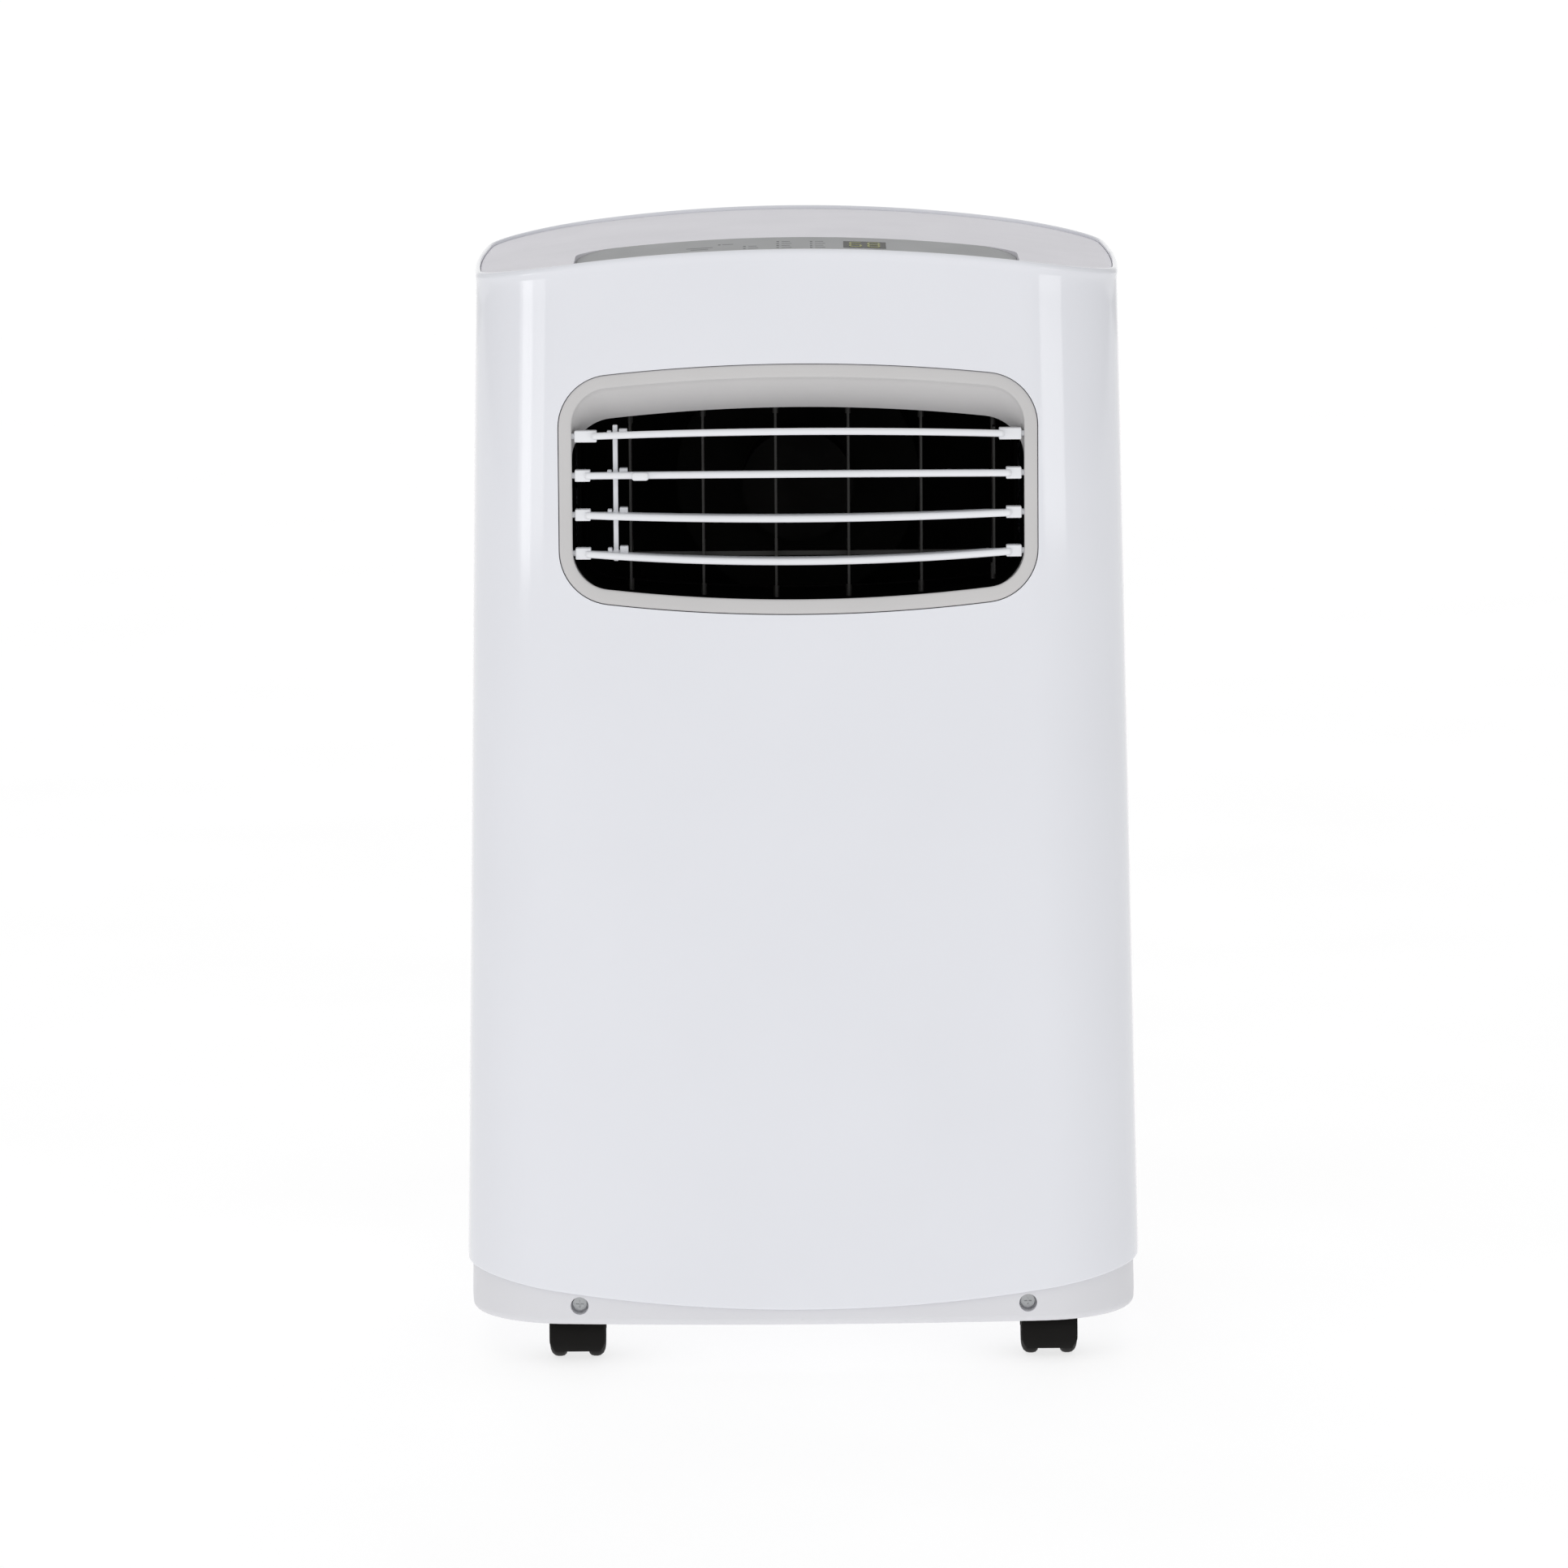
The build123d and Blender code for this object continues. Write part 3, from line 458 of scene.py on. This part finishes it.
def meshed(name, colour):
    """Woven filter mesh: crossed threads on a plain ground."""
    material, tree, shader = new_material(name, 0.7)
    coords = tree.nodes.new("ShaderNodeTexCoord")
    checker = tree.nodes.new("ShaderNodeTexChecker")
    checker.inputs["Scale"].default_value = 800.0
    checker.inputs["Color1"].default_value = (*colour, 1)
    checker.inputs["Color2"].default_value = (*(c * 0.35 for c in colour), 1)
    tree.links.new(coords.outputs["Object"], checker.inputs["Vector"])
    tree.links.new(checker.outputs["Color"], shader.inputs["Base Color"])
    add_bump(tree, shader, checker, 0.4, 0.0004)
    return material


MATERIALS = {
    "casing_white": moulded("gloss_white", (0.815, 0.825, 0.87), 0.08, drift=0.008, specular=0.3),
    "base_white": moulded("base_white", (0.745, 0.745, 0.775), 0.38, drift=0.012, specular=0.35),
    "cover_grey": moulded("cover_grey", (0.80, 0.79, 0.83), 0.55, grain=0.10, specular=0.12),
    "panel_grey": moulded("panel_grey", (0.375, 0.38, 0.385), 0.5, grain=0.05, specular=0.15),
    "key_grey": moulded("key_grey", (0.36, 0.365, 0.37), 0.5, grain=0.05, specular=0.15),
    "display_black": moulded("display_black", (0.014, 0.015, 0.009), 0.25, specular=0.06),
    "bezel_grey": moulded("bezel_grey", (0.605, 0.595, 0.595), 0.42, grain=0.08, specular=0.3),
    "louver_white": moulded("louver_white", (0.84, 0.85, 0.88), 0.34, grain=0.04),
    "duct_black": moulded("duct_black", (0.0035, 0.0032, 0.003), 0.7, drift=0.1, specular=0.06),
    "grille_white": moulded("grille_white", (0.70, 0.70, 0.725), 0.36, grain=0.06),
    "filter_mesh": meshed("filter_mesh", (0.16, 0.18, 0.21)),
    "caster_black": moulded("caster_black", (0.006, 0.0055, 0.005), 0.55, grain=0.08, drift=0.1,
                             specular=0.12),
    "wheel_black": moulded("wheel_black", (0.009, 0.008, 0.0075), 0.55, grain=0.12, drift=0.15,
                            specular=0.12),
    "screw_steel": metal("screw_steel", (0.42, 0.43, 0.44), 0.30),
    "drain_rubber": moulded("drain_rubber", (0.025, 0.025, 0.026), 0.62, grain=0.3, drift=0.1),
    "coil_aluminium": fins_and_painted_gap_shade("coil_aluminium", (0.72, 0.73, 0.75)),
    "housing_plastic": moulded("housing_plastic", (0.05, 0.05, 0.055), 0.5, grain=0.2),
    "motor_metal": metal("motor_metal", (0.36, 0.37, 0.38), 0.38, stretch=(1, 12, 1)),
    "compressor_black": moulded("compressor_paint", (0.012, 0.012, 0.013), 0.24, coat=0.3),
    "pipe_copper": metal("pipe_copper", (0.72, 0.34, 0.20), 0.28),
    "capacitor_metal": metal("capacitor_metal", (0.62, 0.63, 0.64), 0.3, stretch=(1, 1, 10)),
}
DIGIT_LIGHT = glowing("digit_light", (0.17, 0.18, 0.015), 0.14)
VANE_BLACK = moulded("vane_black", (0.030, 0.029, 0.027), 0.4, drift=0.1, specular=0.3)
LAMP_LENS = moulded("lamp_lens", (0.19, 0.195, 0.20), 0.3, specular=0.3)
LEGEND_INK = moulded("legend_ink", (0.22, 0.225, 0.23), 0.5)


def dress(obj, material):
    obj.data.materials.clear()
    obj.data.materials.append(material)


def place(obj, body, slot, *nodes):
    """Finishes a new piece: material, body, slot and the CAD nodes that it stands for."""
    dress(obj, MATERIALS[slot])
    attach(obj, body)
    if nodes:
        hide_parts(*nodes)
    return obj


# --- Casing ---------------------------------------------------------------------------------
RIM_PROFILE = [(0.0, -8.0), (-0.12, -6.0), (-0.4, -4.4), (-0.55, -3.2), (-0.5, -2.2), (-0.2, -1.2),
               (0.4, -0.4), (1.2, -0.05), (1.9, 0.0), (2.5, -0.3), (2.9, -0.9), (3.0, -1.8)]
SEAM_PROFILE = [(3.0, 12.0), (3.0, 1.2), (2.6, 0.4), (2.0, 0.1), (1.5, 0.0), (0.9, 0.15),
                (0.4, 0.5), (0.1, 1.1), (0.0, 2.2)]


def casing_column(index, half, edge_of, drop, inset):
    """Point of one casing column at a height measured from its rim or its seam."""
    z = edge_of(0, 0) if half == 0 else edge_of(0, 100)
    for _ in range(4):
        x, y = plan(z, inset)[half][index]
        z = edge_of(x, y) + drop
    return x, y, z


def casing_half(name, half):
    """Closed thin shell of the front (0) or back (1) half of the casing."""
    count = len(plan(100.0)[half])
    columns = []
    for index in range(count):
        foot = [casing_column(index, half, lambda x, y: seam_height(x), rise, inset)
                for inset, rise in SEAM_PROFILE]
        head = [casing_column(index, half, rim_height, rise, inset)
                for inset, rise in RIM_PROFILE]
        low, high = foot[-1][2], head[0][2]
        outer = []
        steps = 46
        for step in range(1, steps):
            z = low + (high - low) * step / steps
            outer.append((*plan(z)[half][index], z))
        inner = []
        for step in range(12, -1, -1):
            z = foot[0][2] + (head[-1][2] - foot[0][2]) * (step / 13 + 0.02)
            inner.append((*plan(z, WALL)[half][index], z))
        columns.append(foot + outer + head + inner)
    mirrored = [[(-x, y, z) for x, y, z in column] for column in columns]
    if half == 0:
        rows = mirrored[:0:-1] + columns
    else:
        rows = columns[:-1] + mirrored[::-1]
    return grid(name, rows, closed_u=True, caps=("start", "end"), smooth=30.0)


def window_loop(size, grow=0.0):
    """Points round an outlet-shaped window, clockwise from the middle of its top edge."""
    half, top, bottom, corner = size
    half, top, bottom, corner = half + grow, top + grow, bottom - grow, corner + grow
    centre = (0.0, top - ARCH)
    corner_x = half - corner
    corner_z = centre[1] + sqrt((ARCH - corner)**2 - corner_x**2)
    touch = toward(centre, (corner_x, corner_z), ARCH)
    upper = arc_points(centre, ARCH, (0.0, top), touch, 22)
    upper += arc_points((corner_x, corner_z), corner, touch, (half, corner_z), 14)
    middle = (top + bottom) / 2
    upper += [(half, corner_z + (middle - corner_z) * i / 6) for i in range(6)]
    lower = [(x, 2 * middle - z) for x, z in upper[::-1]]
    right = upper + [(half, middle)] + lower
    left = [(-x, z) for x, z in right[::-1]]
    return right + left[1:-1]


def window_prism(name, size, y0, y1, grow=0.0):
    loop = window_loop(size, grow)
    rows = [[(x, y, z) for x, z in loop] for y in (y0, y1)]
    return grid(name, rows, closed_u=True, caps=("start", "end"))


def make_front_panel():
    panel = casing_half("front_shell", 0)
    boolean(panel, window_prism("cutter", OUTLET, -240, -150, 0.45))
    return place(panel, "case", "casing_white", "front_panel")


def blend_loops(a, b, share):
    return [(xa + (xb - xa) * share, za + (zb - za) * share)
            for (xa, za), (xb, zb) in zip(a, b)]


def make_bezel():
    """Outlet frame: front face flush with the casing, and the hollow that narrows inwards."""
    outer, inner, mouth = window_loop(OUTLET), window_loop(OUTLET_INNER), window_loop(MOUTH)
    stations = [(window_loop(MOUTH, 2.4), MOUTH_Y, None),
                (window_loop(OUTLET_INNER, 3.0), -168.0, None),
                (outer, FLANGE_BACK, None), (outer, None, 2.0), (outer, None, 1.0),
                (window_loop(OUTLET, -0.3), None, 0.35), (window_loop(OUTLET, -0.9), None, 0.05),
                (window_loop(OUTLET, -3.0), None, 0.0), (window_loop(OUTLET_INNER, 4.0), None, 0.0),
                (window_loop(OUTLET_INNER, 1.6), None, 0.05),
                (window_loop(OUTLET_INNER, 0.8), None, 0.3),
                (window_loop(OUTLET_INNER, 0.25), None, 0.8), (inner, None, 1.6)]
    rows = []
    for loop, y, offset in stations:
        if y is None:
            rows.append([(x, front_surface(x, z) + offset, z) for x, z in loop])
        else:
            rows.append([(x, y, z) for x, z in loop])
    first = rows[-1]
    for share in (0.12, 0.25, 0.4, 0.55, 0.7, 0.85, 1.0):
        loop = blend_loops(inner, mouth, share)
        rows.append([(x, start[1] + (BROW_BACK_Y - start[1]) * share, z)
                     for (x, z), start in zip(loop, first)])
    rows.append([(x, MOUTH_Y, z) for x, z in mouth])
    bezel = grid("outlet_frame", rows, closed_u=True, closed_v=True, smooth=40.0)
    for z, clip in zip(LOUVER_Z, LOUVER_CLIP):
        for side in (-1, 1):
            ends = sorted((side * (CLIP_END - clip - 0.6), side * (CLIP_END + 0.5)))
            cutter = lathe("cutter", [(0.01, ends[0]), (6.8, ends[0]), (6.8, ends[1]),
                                      (0.01, ends[1])], (0, LOUVER_PIVOT_Y, z), "X")
            boolean(bezel, cutter, smooth=40.0)
    return place(bezel, "case", "bezel_grey", "outlet_bezel")


def box_loop(size, corner):
    """Points round an upright rectangle with rounded corners, as (x, z)."""
    x, z, width, height = size
    half_x, half_z = width / 2, height / 2
    points = []
    for turn, (sx, sz) in enumerate(((1, 1), (-1, 1), (-1, -1), (1, -1))):
        for step in range(9):
            angle = pi / 2 * (turn + step / 8)
            points.append((x + sx * (half_x - corner) + corner * cos(angle),
                           z + sz * (half_z - corner) + corner * sin(angle)))
    return points


def bore(x, z, radius, segments=40):
    """Cutter for a round hole through the back."""
    near, far = BACK_CUT
    profile = [(0.01, near), (radius, near), (radius, far), (0.01, far)]
    return lathe("cutter", profile, (x, 0, z), "Y", segments)


def handle_cup(side):
    """Closed five-sided cup behind the hand hold, trimmed to the casing's wall."""
    ends = sorted((side * 186.0, side * 240.0))
    length, height = HANDLE_CUP
    cup = rounded_box("cup", *ends, HANDLE_Y - length, HANDLE_Y + length,
                      HANDLE_Z - height, HANDLE_Z + height, 8.0, 4)
    rows = []
    for z in (HANDLE_Z - 40, HANDLE_Z + 40):
        fronts, backs = plan(z, 0.6)
        right = fronts + backs[1:]
        rows.append([(x, y, z) for x, y in right] + [(-x, y, z) for x, y in right[-2:0:-1]])
    boolean(cup, grid("core", rows, closed_u=True, caps=("start", "end")), "INTERSECT")
    return boolean(cup, hand_hold(side))


def hand_hold(side):
    """Cutter for the opening that the fingers reach into."""
    ends = sorted((side * 189.0, side * 260.0))
    length, height = HANDLE_HOLD
    return rounded_box("hold", *ends, HANDLE_Y - length, HANDLE_Y + length,
                       HANDLE_Z - height, HANDLE_Z + height, 7.0, 4)


def cord_hook(side):
    """Arm and upturned or downturned tip that a cord is wound round."""
    z = 355.0 + 12 * side
    low, high = (z - 4, z + 18) if side > 0 else (z - 18, z + 4)
    root = back_surface(-177.0, z) - 4
    return [rounded_box("arm", -184, -170, root, 189.0, z - 4, z + 4, 1.2),
            rounded_box("tip", -184, -170, 184.5, 190.0, low, high, 1.2)]


def make_rear_case():
    """Back half of the casing with its openings, hand holds, screw bosses and cord hooks."""
    case = casing_half("rear_shell", 1)
    cutters = []
    for size in (UPPER_GRILLE, LOWER_GRILLE):
        rows = [[(x, y, z) for x, z in box_loop(size, GRILLE_CORNER)] for y in BACK_CUT]
        cutters.append(grid("cutter", rows, closed_u=True, caps=("start", "end")))
    cutters.append(bore(*PORT, 72))
    cutters += [bore(x, z, radius) for x, z, radius in REAR_BORES]
    cutters += [bore(x, z, SCREW_RECESS_R) for x, z in REAR_SCREWS]
    cutters += [hand_hold(side) for side in (-1, 1)]
    boolean(case, join("cutters", cutters), smooth=30.0)
    pieces = [case] + [handle_cup(side) for side in (-1, 1)] + cord_hook(-1) + cord_hook(1)
    for x, z in REAR_SCREWS:
        end = back_surface(x, z) - 2.6
        profile = [(SCREW_RECESS_R, 146.2), (SCREW_RECESS_R, end), (8.0, end), (8.0, 143.0),
                   (1.8, 143.0), (1.8, 146.2)]
        pieces.append(lathe("boss", profile, (x, 0, z), "Y", 28))
    return place(join("rear_shell_full", pieces), "case", "casing_white", "rear_case")


# --- Louvers --------------------------------------------------------------------------------
def louver_section(count=10):
    """Blade section about the pivot, as (y, z): rounded nose, thin tail."""
    nose_y, tail_y, half = -6.2, 18.0, 2.3
    points = []
    for i in range(count + 1):
        turn = pi / 2 + pi * i / count
        points.append((nose_y + half * cos(turn), half * sin(turn)))
    points += [(-2.0, -2.25), (6.0, -1.9), (13.0, -1.35), (tail_y - 0.9, -1.0), (tail_y, -0.4),
               (tail_y, 0.4), (tail_y - 0.9, 1.0), (13.0, 1.35), (6.0, 1.9), (-2.0, 2.25)]
    return points


def make_louver(index):
    """Blade with end clips and pins, link lugs and, on one blade, a finger tab."""
    z, clip, arc, tilt = (v[index] for v in (LOUVER_Z, LOUVER_CLIP, LOUVER_ARC, LOUVER_TILT))
    y = LOUVER_PIVOT_Y
    half = CLIP_END - clip + 4.2
    turn = Matrix.Rotation(radians(tilt), 3, "X")
    rows = []
    for step in range(STATIONS + 1):
        x = half * sin(pi / 2 * (2 * step / STATIONS - 1))
        crown = 1 - (x / half)**2
        taper = max(0.0, (abs(x) - (half - 17)) / 17)
        rounding = sqrt(max(0.02, 1 - max(0.0, (abs(x) - half + 2.3) / 2.3)**2))
        row = []
        for section_y, rise in louver_section():
            tail = max(0.0, (section_y + 2) / 20)
            section_y -= tail * taper * 12.5 + 2.0 * crown * (1 - tail)
            section_y = (section_y + 2) * rounding - 2
            point = turn @ Vector((x, section_y, rise * rounding + arc * crown))
            row.append((point.x, point.y + y, point.z + z))
        rows.append(row)
    blade = grid("blade", rows, closed_u=True, caps=("start", "end"), smooth=40.0)
    pieces = [boolean(blade, rounded_box("cutter", LINK_X - 2.5, LINK_X + 2.5, LINK_Y - 6,
                                         LINK_Y + 6, z - 12, z + 12, 0.2))]
    for side in (-1, 1):
        ends = sorted((side * (CLIP_END - clip), side * CLIP_END))
        pieces.append(rounded_box("clip", *ends, y - 4.5, y + 5, z - 3.85, z + 3.85, 0.7))
        ends = sorted((side * (CLIP_END - 1), side * 155.0))
        pieces.append(lathe("pin", [(0.01, ends[0]), (2, ends[0]), (2, ends[1]), (0.01, ends[1])],
                            (0, y, z), "X", 20))
    pieces.append(rounded_box("lug", LINK_X + 2.6, LINK_X + 8.2, LINK_Y - 4, LINK_Y + 4,
                              z - 2, z + 4.2, 0.6))
    pieces.append(rounded_box("lug", LINK_X - 5.5, LINK_X - 2.6, LINK_Y - 4, LINK_Y + 4,
                              z - 2, z + 3.0, 0.6))
    pieces.append(lathe("pin", [(0.01, -4), (1.2, -4), (1.2, 4), (0.01, 4)],
                        (LINK_X, LINK_Y, z), "X", 16))
    if index == 1:
        pieces.append(rounded_box("tab", TAB_X - 5.75, TAB_X + 5.75, y - 13.2, y - 6,
                                  z - 2.75, z + 2.75, 2.0, 5))
    louver = join(f"louver_{index + 1}_blade", pieces)
    node = f"louver_{index + 1}"
    return place(louver, node, "louver_white", node)


def make_louver_link():
    """Upright bar that ties the louvers together, with an eye at each blade."""
    low, high = LOUVER_Z[3] - 6, LOUVER_Z[0] + 6.8
    pieces = [rounded_box("bar", LINK_X - 1.65, LINK_X + 1.65, LINK_Y - 2.2, LINK_Y + 2.2,
                          low, high, 0.7)]
    bar = pieces[0]
    for z in LOUVER_Z:
        eye = [(1.45, -1.65), (3.0, -1.65), (3.0, 1.65), (1.45, 1.65)]
        hole = lathe("cutter", [(0.01, -4), (1.5, -4), (1.5, 4), (0.01, 4)],
                     (LINK_X, LINK_Y, z), "X", 20)
        boolean(bar, hole)
        pieces.append(lathe("eye", eye, (LINK_X, LINK_Y, z), "X", 24))
    link = join("louver_link_bar", pieces)
    return place(link, "louver_link", "louver_white", "louver_link")


# --- Casters --------------------------------------------------------------------------------
def swept_about_x(name, section_at, start, end, steps, axle):
    """Section of (x, radius) swept about the axle line, from the front over the top."""
    rows = []
    for step in range(steps + 1):
        turn = radians(start + (end - start) * step / steps)
        rows.append([(x, axle[0] - r * cos(turn), axle[1] + r * sin(turn))
                     for x, r in section_at(degrees(turn))])
    return grid(name, rows, closed_u=True, caps=("start", "end"), smooth=40.0)


def make_caster(corner):
    """Swivelling fender with its stem, and the pair of wheels on their axle."""
    x, y, trail = CASTERS[corner]
    axle = (y + trail, WHEEL_R)

    def fender(turn):
        narrowing = max(0.0, (-12.0 - turn) / 22.0)
        half = WHEEL_OUT - 2.6 * narrowing**1.5
        inner = WHEEL_R + 0.8
        return [(x - half, inner), (x - half, inner + 0.7), (x - half + 0.7, FENDER_R - 0.4),
                (x - half + 1.8, FENDER_R), (x + half - 1.8, FENDER_R),
                (x + half - 0.7, FENDER_R - 0.4), (x + half, inner + 0.7), (x + half, inner)]

    def web(_):
        top = FENDER_R - 0.6
        return [(x - 6.6, 2.1), (x - 6.6, top), (x + 6.6, top), (x + 6.6, 2.1)]

    stem = [(0.01, WHEEL_R + FENDER_R - 3.5), (5.5, WHEEL_R + FENDER_R - 3.5), (5.5, 59.0),
            (4.8, 60.0), (0.01, 60.0)]
    hood = join(f"caster_{corner}_fender", [
        swept_about_x("fender", fender, -34.0, 187.0, 44, axle),
        swept_about_x("web", web, -33.5, 186.5, 30, axle),
        lathe("stem", stem, (x, y, 0), "Z", 28)])
    place(hood, f"caster_{corner}_swivel", "caster_black", f"caster_{corner}_hood")
    pieces = [lathe("axle", [(0.01, -17.0), (2.0, -17.0), (2.0, 17.0), (0.01, 17.0)],
                    (x, *axle), "X", 20)]
    for side in (-1, 1):
        tread = [(1.9, 7.3), (13.2, 7.3), (15.6, 7.8), (17.0, 9.2), (17.5, 11.2), (17.5, 13.6),
                 (17.0, 15.6), (15.4, 17.6), (12.8, 18.8), (10.5, 19.2), (9.6, 18.4),
                 (3.4, 18.4), (2.8, 19.0), (1.9, 19.0)]
        pieces.append(lathe("wheel", [(r, side * d) for r, d in tread], (x, *axle), "X", 56))
    wheels = join(f"caster_{corner}_tyres", pieces)
    place(wheels, f"caster_{corner}_wheelset", "wheel_black", f"caster_{corner}_wheels")


# --- Panel legend ----------------------------------------------------------------
def mark(x0, x1, y0, y1, lift=0.14):
    """Thin printed mark that lies on the control panel's arched surface."""
    steps = max(1, int(abs(x1 - x0) / 4))
    rows = []
    for step in range(steps + 1):
        x = x0 + (x1 - x0) * step / steps
        rows.append([(x, y0, panel_height(x, y0) - 0.1), (x, y1, panel_height(x, y1) - 0.1),
                     (x, y1, panel_height(x, y1) + lift), (x, y0, panel_height(x, y0) + lift)])
    return grid("mark", rows, closed_u=True, caps=("start", "end"), smooth=20.0)


def make_legend():
    """Lamps, short dashes in place of words, and ticks that lead to the keys."""
    ink = []
    for x, rows in LAMP_ROWS:
        for row in range(rows):
            y = LAMP_Y + LAMP_PITCH * row
            ink.append(mark(x + 2.6, x + 9.5 - 1.2 * (row % 2), y - 0.45, y + 0.45))
    for x0, x1, y in ((-75.0, -57.0, -86.0), (-50.5, -43.0, -79.0), (-72.0, -60.0, -90.5)):
        ink.append(mark(x0, x1, y - 0.45, y + 0.45))
    for x, width in KEYS:
        for side in (-1, 1):
            edge = x + side * (width / 2 - 0.4)
            ink.append(mark(edge - 0.3, edge + 0.3, -106.2, -98.5))
    legend = join("panel_legend", ink)
    dress(legend, LEGEND_INK)
    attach(legend, "case")
    lamps = []
    spots = [(x, LAMP_Y + LAMP_PITCH * row) for x, rows in LAMP_ROWS for row in range(rows)]
    for x, y in spots + [SINGLE_LAMP]:
        lens = [(0.01, -0.1), (1.0, -0.1), (1.0, 0.12), (0.75, 0.24), (0.01, 0.3)]
        lamps.append(lathe("lens", lens, (x, y, panel_height(x, y)), "Z", 16))
    lamps = join("panel_lamps", lamps)
    dress(lamps, LAMP_LENS)
    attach(lamps, "case")


SEGMENTS = {"6": "afgedc", "8": "abcdefg"}


def make_digits():
    """Two seven-segment digits under the display window's glass."""
    bars = []
    for digit, centre in (("6", -6.2), ("8", 6.2)):
        x, y = DISPLAY[0] + centre, DISPLAY[1]
        w, h, t = 3.6, 6.4, 0.75
        spots = {"a": (-w, w, h - t, h + t), "g": (-w, w, -t, t), "d": (-w, w, -h - t, t - h),
                 "f": (-w - t, t - w, 0.9, h - 0.9), "b": (w - t, w + t, 0.9, h - 0.9),
                 "e": (-w - t, t - w, 0.9 - h, -0.9), "c": (w - t, w + t, 0.9 - h, -0.9)}
        for name in SEGMENTS[digit]:
            x0, x1, y0, y1 = spots[name]
            bars.append(mark(x + x0, x + x1, y + y0, y + y1, 0.26))
    digits = join("display_digits", bars)
    dress(digits, DIGIT_LIGHT)
    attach(digits, "case")


make_front_panel()
make_rear_case()
make_bezel()
for caster_corner in CASTERS:
    make_caster(caster_corner)
make_legend()
make_digits()
for louver_index in range(len(LOUVER_Z)):
    make_louver(louver_index)
make_louver_link()


# --- CAD nodes that stay, with better materials ---------------------------------------------
SLOT_OF = {part["node"]: part["material_slot"] for part in frame["record"]["subparts"]}
# The scroll, fan and motor behind the outlet all take the near-black duct colour. On the scroll it
# is the blower's own black lining. On the fan and motor it is painted shade deep in the outlet, in
# place of their own colours.
BEHIND_OUTLET = ("evaporator_scroll", "evaporator_fan", "evaporator_motor")
for node_name, node in NODES.items():
    dress(node, MATERIALS["duct_black" if node_name in BEHIND_OUTLET else SLOT_OF[node_name]])
    if node_name.startswith("vane_"):
        dress(node, VANE_BLACK)


# --- Floor, light and camera ----------------------------------------------------------------
def make_floor():
    """Pale floor lit from within, as on a light table, so that shadows on it stay faint."""
    reach = 9000.0
    floor = make_mesh("floor", [(-reach, -reach, 0), (reach, -reach, 0),
                                (reach, reach, 0), (-reach, reach, 0)], [(0, 1, 2, 3)])
    material, tree, shader = new_material("pale_floor", 0.7, specular=0.1)
    vary_colour(tree, shader, (0.30, 0.30, 0.30), (0.32, 0.32, 0.32), noise(tree, 3.0))
    shader.inputs["Emission Color"].default_value = (1, 1, 1, 1)
    shader.inputs["Emission Strength"].default_value = 0.74
    dress(floor, material)


def make_softbox(name, location, target, width, height, radiance):
    """Rectangular light panel; its power follows from the brightness of its face."""
    light = bpy.data.lights.new(name, "AREA")
    light.shape = "RECTANGLE"
    light.size, light.size_y = width, height
    light.energy = radiance * pi * width * height
    obj = bpy.data.objects.new(name, light)
    obj.location = location
    obj.rotation_euler = (Vector(target) - Vector(location)).to_track_quat("-Z", "Y").to_euler()
    obj.visible_camera = False
    bpy.context.scene.collection.objects.link(obj)


SOFTBOXES = [  # name, azimuth and spread in degrees seen from the corner, low, high, radiance
    ("left_panel", -56.0, 32.0, 0.385, 0.66, 2.6),
    ("left_core", -61.5, 12.0, 0.36, 0.66, 3.6),
    ("right_panel", 43.0, 26.0, 0.39, 0.66, 3.4),
]


def make_light():
    """White room that is a little darker to the sides, and two low panels in front."""
    world = bpy.data.worlds.new("studio")
    world.use_nodes = True
    tree = world.node_tree
    background = tree.nodes["Background"]
    coords = tree.nodes.new("ShaderNodeTexCoord")
    split = tree.nodes.new("ShaderNodeSeparateXYZ")
    span = tree.nodes.new("ShaderNodeMapRange")
    span.inputs["From Min"].default_value = -1.0
    ramp = tree.nodes.new("ShaderNodeValToRGB")
    stops = [(0.0, 0.34), (0.18, 0.54), (0.4, 1.0), (0.6, 1.0), (0.78, 0.48), (1.0, 0.28)]
    for index, (position, level) in enumerate(stops):
        if index in (0, len(stops) - 1):
            stop = ramp.color_ramp.elements[0 if index == 0 else -1]
            stop.position = position
        else:
            stop = ramp.color_ramp.elements.new(position)
        stop.color = (level, level, level, 1)
    tree.links.new(coords.outputs["Generated"], split.inputs["Vector"])
    tree.links.new(split.outputs["X"], span.inputs["Value"])
    tree.links.new(span.outputs["Result"], ramp.inputs["Fac"])
    tree.links.new(ramp.outputs["Color"], background.inputs["Color"])
    background.inputs["Strength"].default_value = 1.02
    bpy.context.scene.world = world
    for name, azimuth, spread, low, high, radiance in SOFTBOXES:
        distance = 2.2
        start = Vector((copysign(0.17, azimuth), -0.19, (low + high) / 2))
        spot = start + Vector((sin(radians(azimuth)), -cos(radians(azimuth)), 0)) * distance
        width = 2 * distance * sin(radians(spread) / 2)
        make_softbox(name, spot, start, width, high - low, radiance)


def make_camera():
    """Long lens level with the top of the machine and a little above it."""
    stand = Vector((-0.011, -5.190, 1.095))
    target = Vector((-0.011, -0.190, 0.404))
    roll = radians(0.42)
    forward = (target - stand).normalized()
    right = Vector((1, 0, 0))
    up = right.cross(forward)
    tilted_right = right * cos(roll) - up * sin(roll)
    tilted_up = right * sin(roll) + up * cos(roll)
    camera = bpy.data.cameras.new("camera")
    camera.sensor_width = 36.0
    camera.lens = 171.9
    camera.clip_start, camera.clip_end = 0.1, 60.0
    obj = bpy.data.objects.new("camera", camera)
    turn = Matrix((tilted_right, tilted_up, -forward)).transposed()
    obj.matrix_world = Matrix.Translation(stand) @ turn.to_4x4()
    bpy.context.scene.collection.objects.link(obj)
    bpy.context.scene.camera = obj


make_floor()
make_light()
make_camera()
bpy.context.scene.view_settings.view_transform = "Standard"
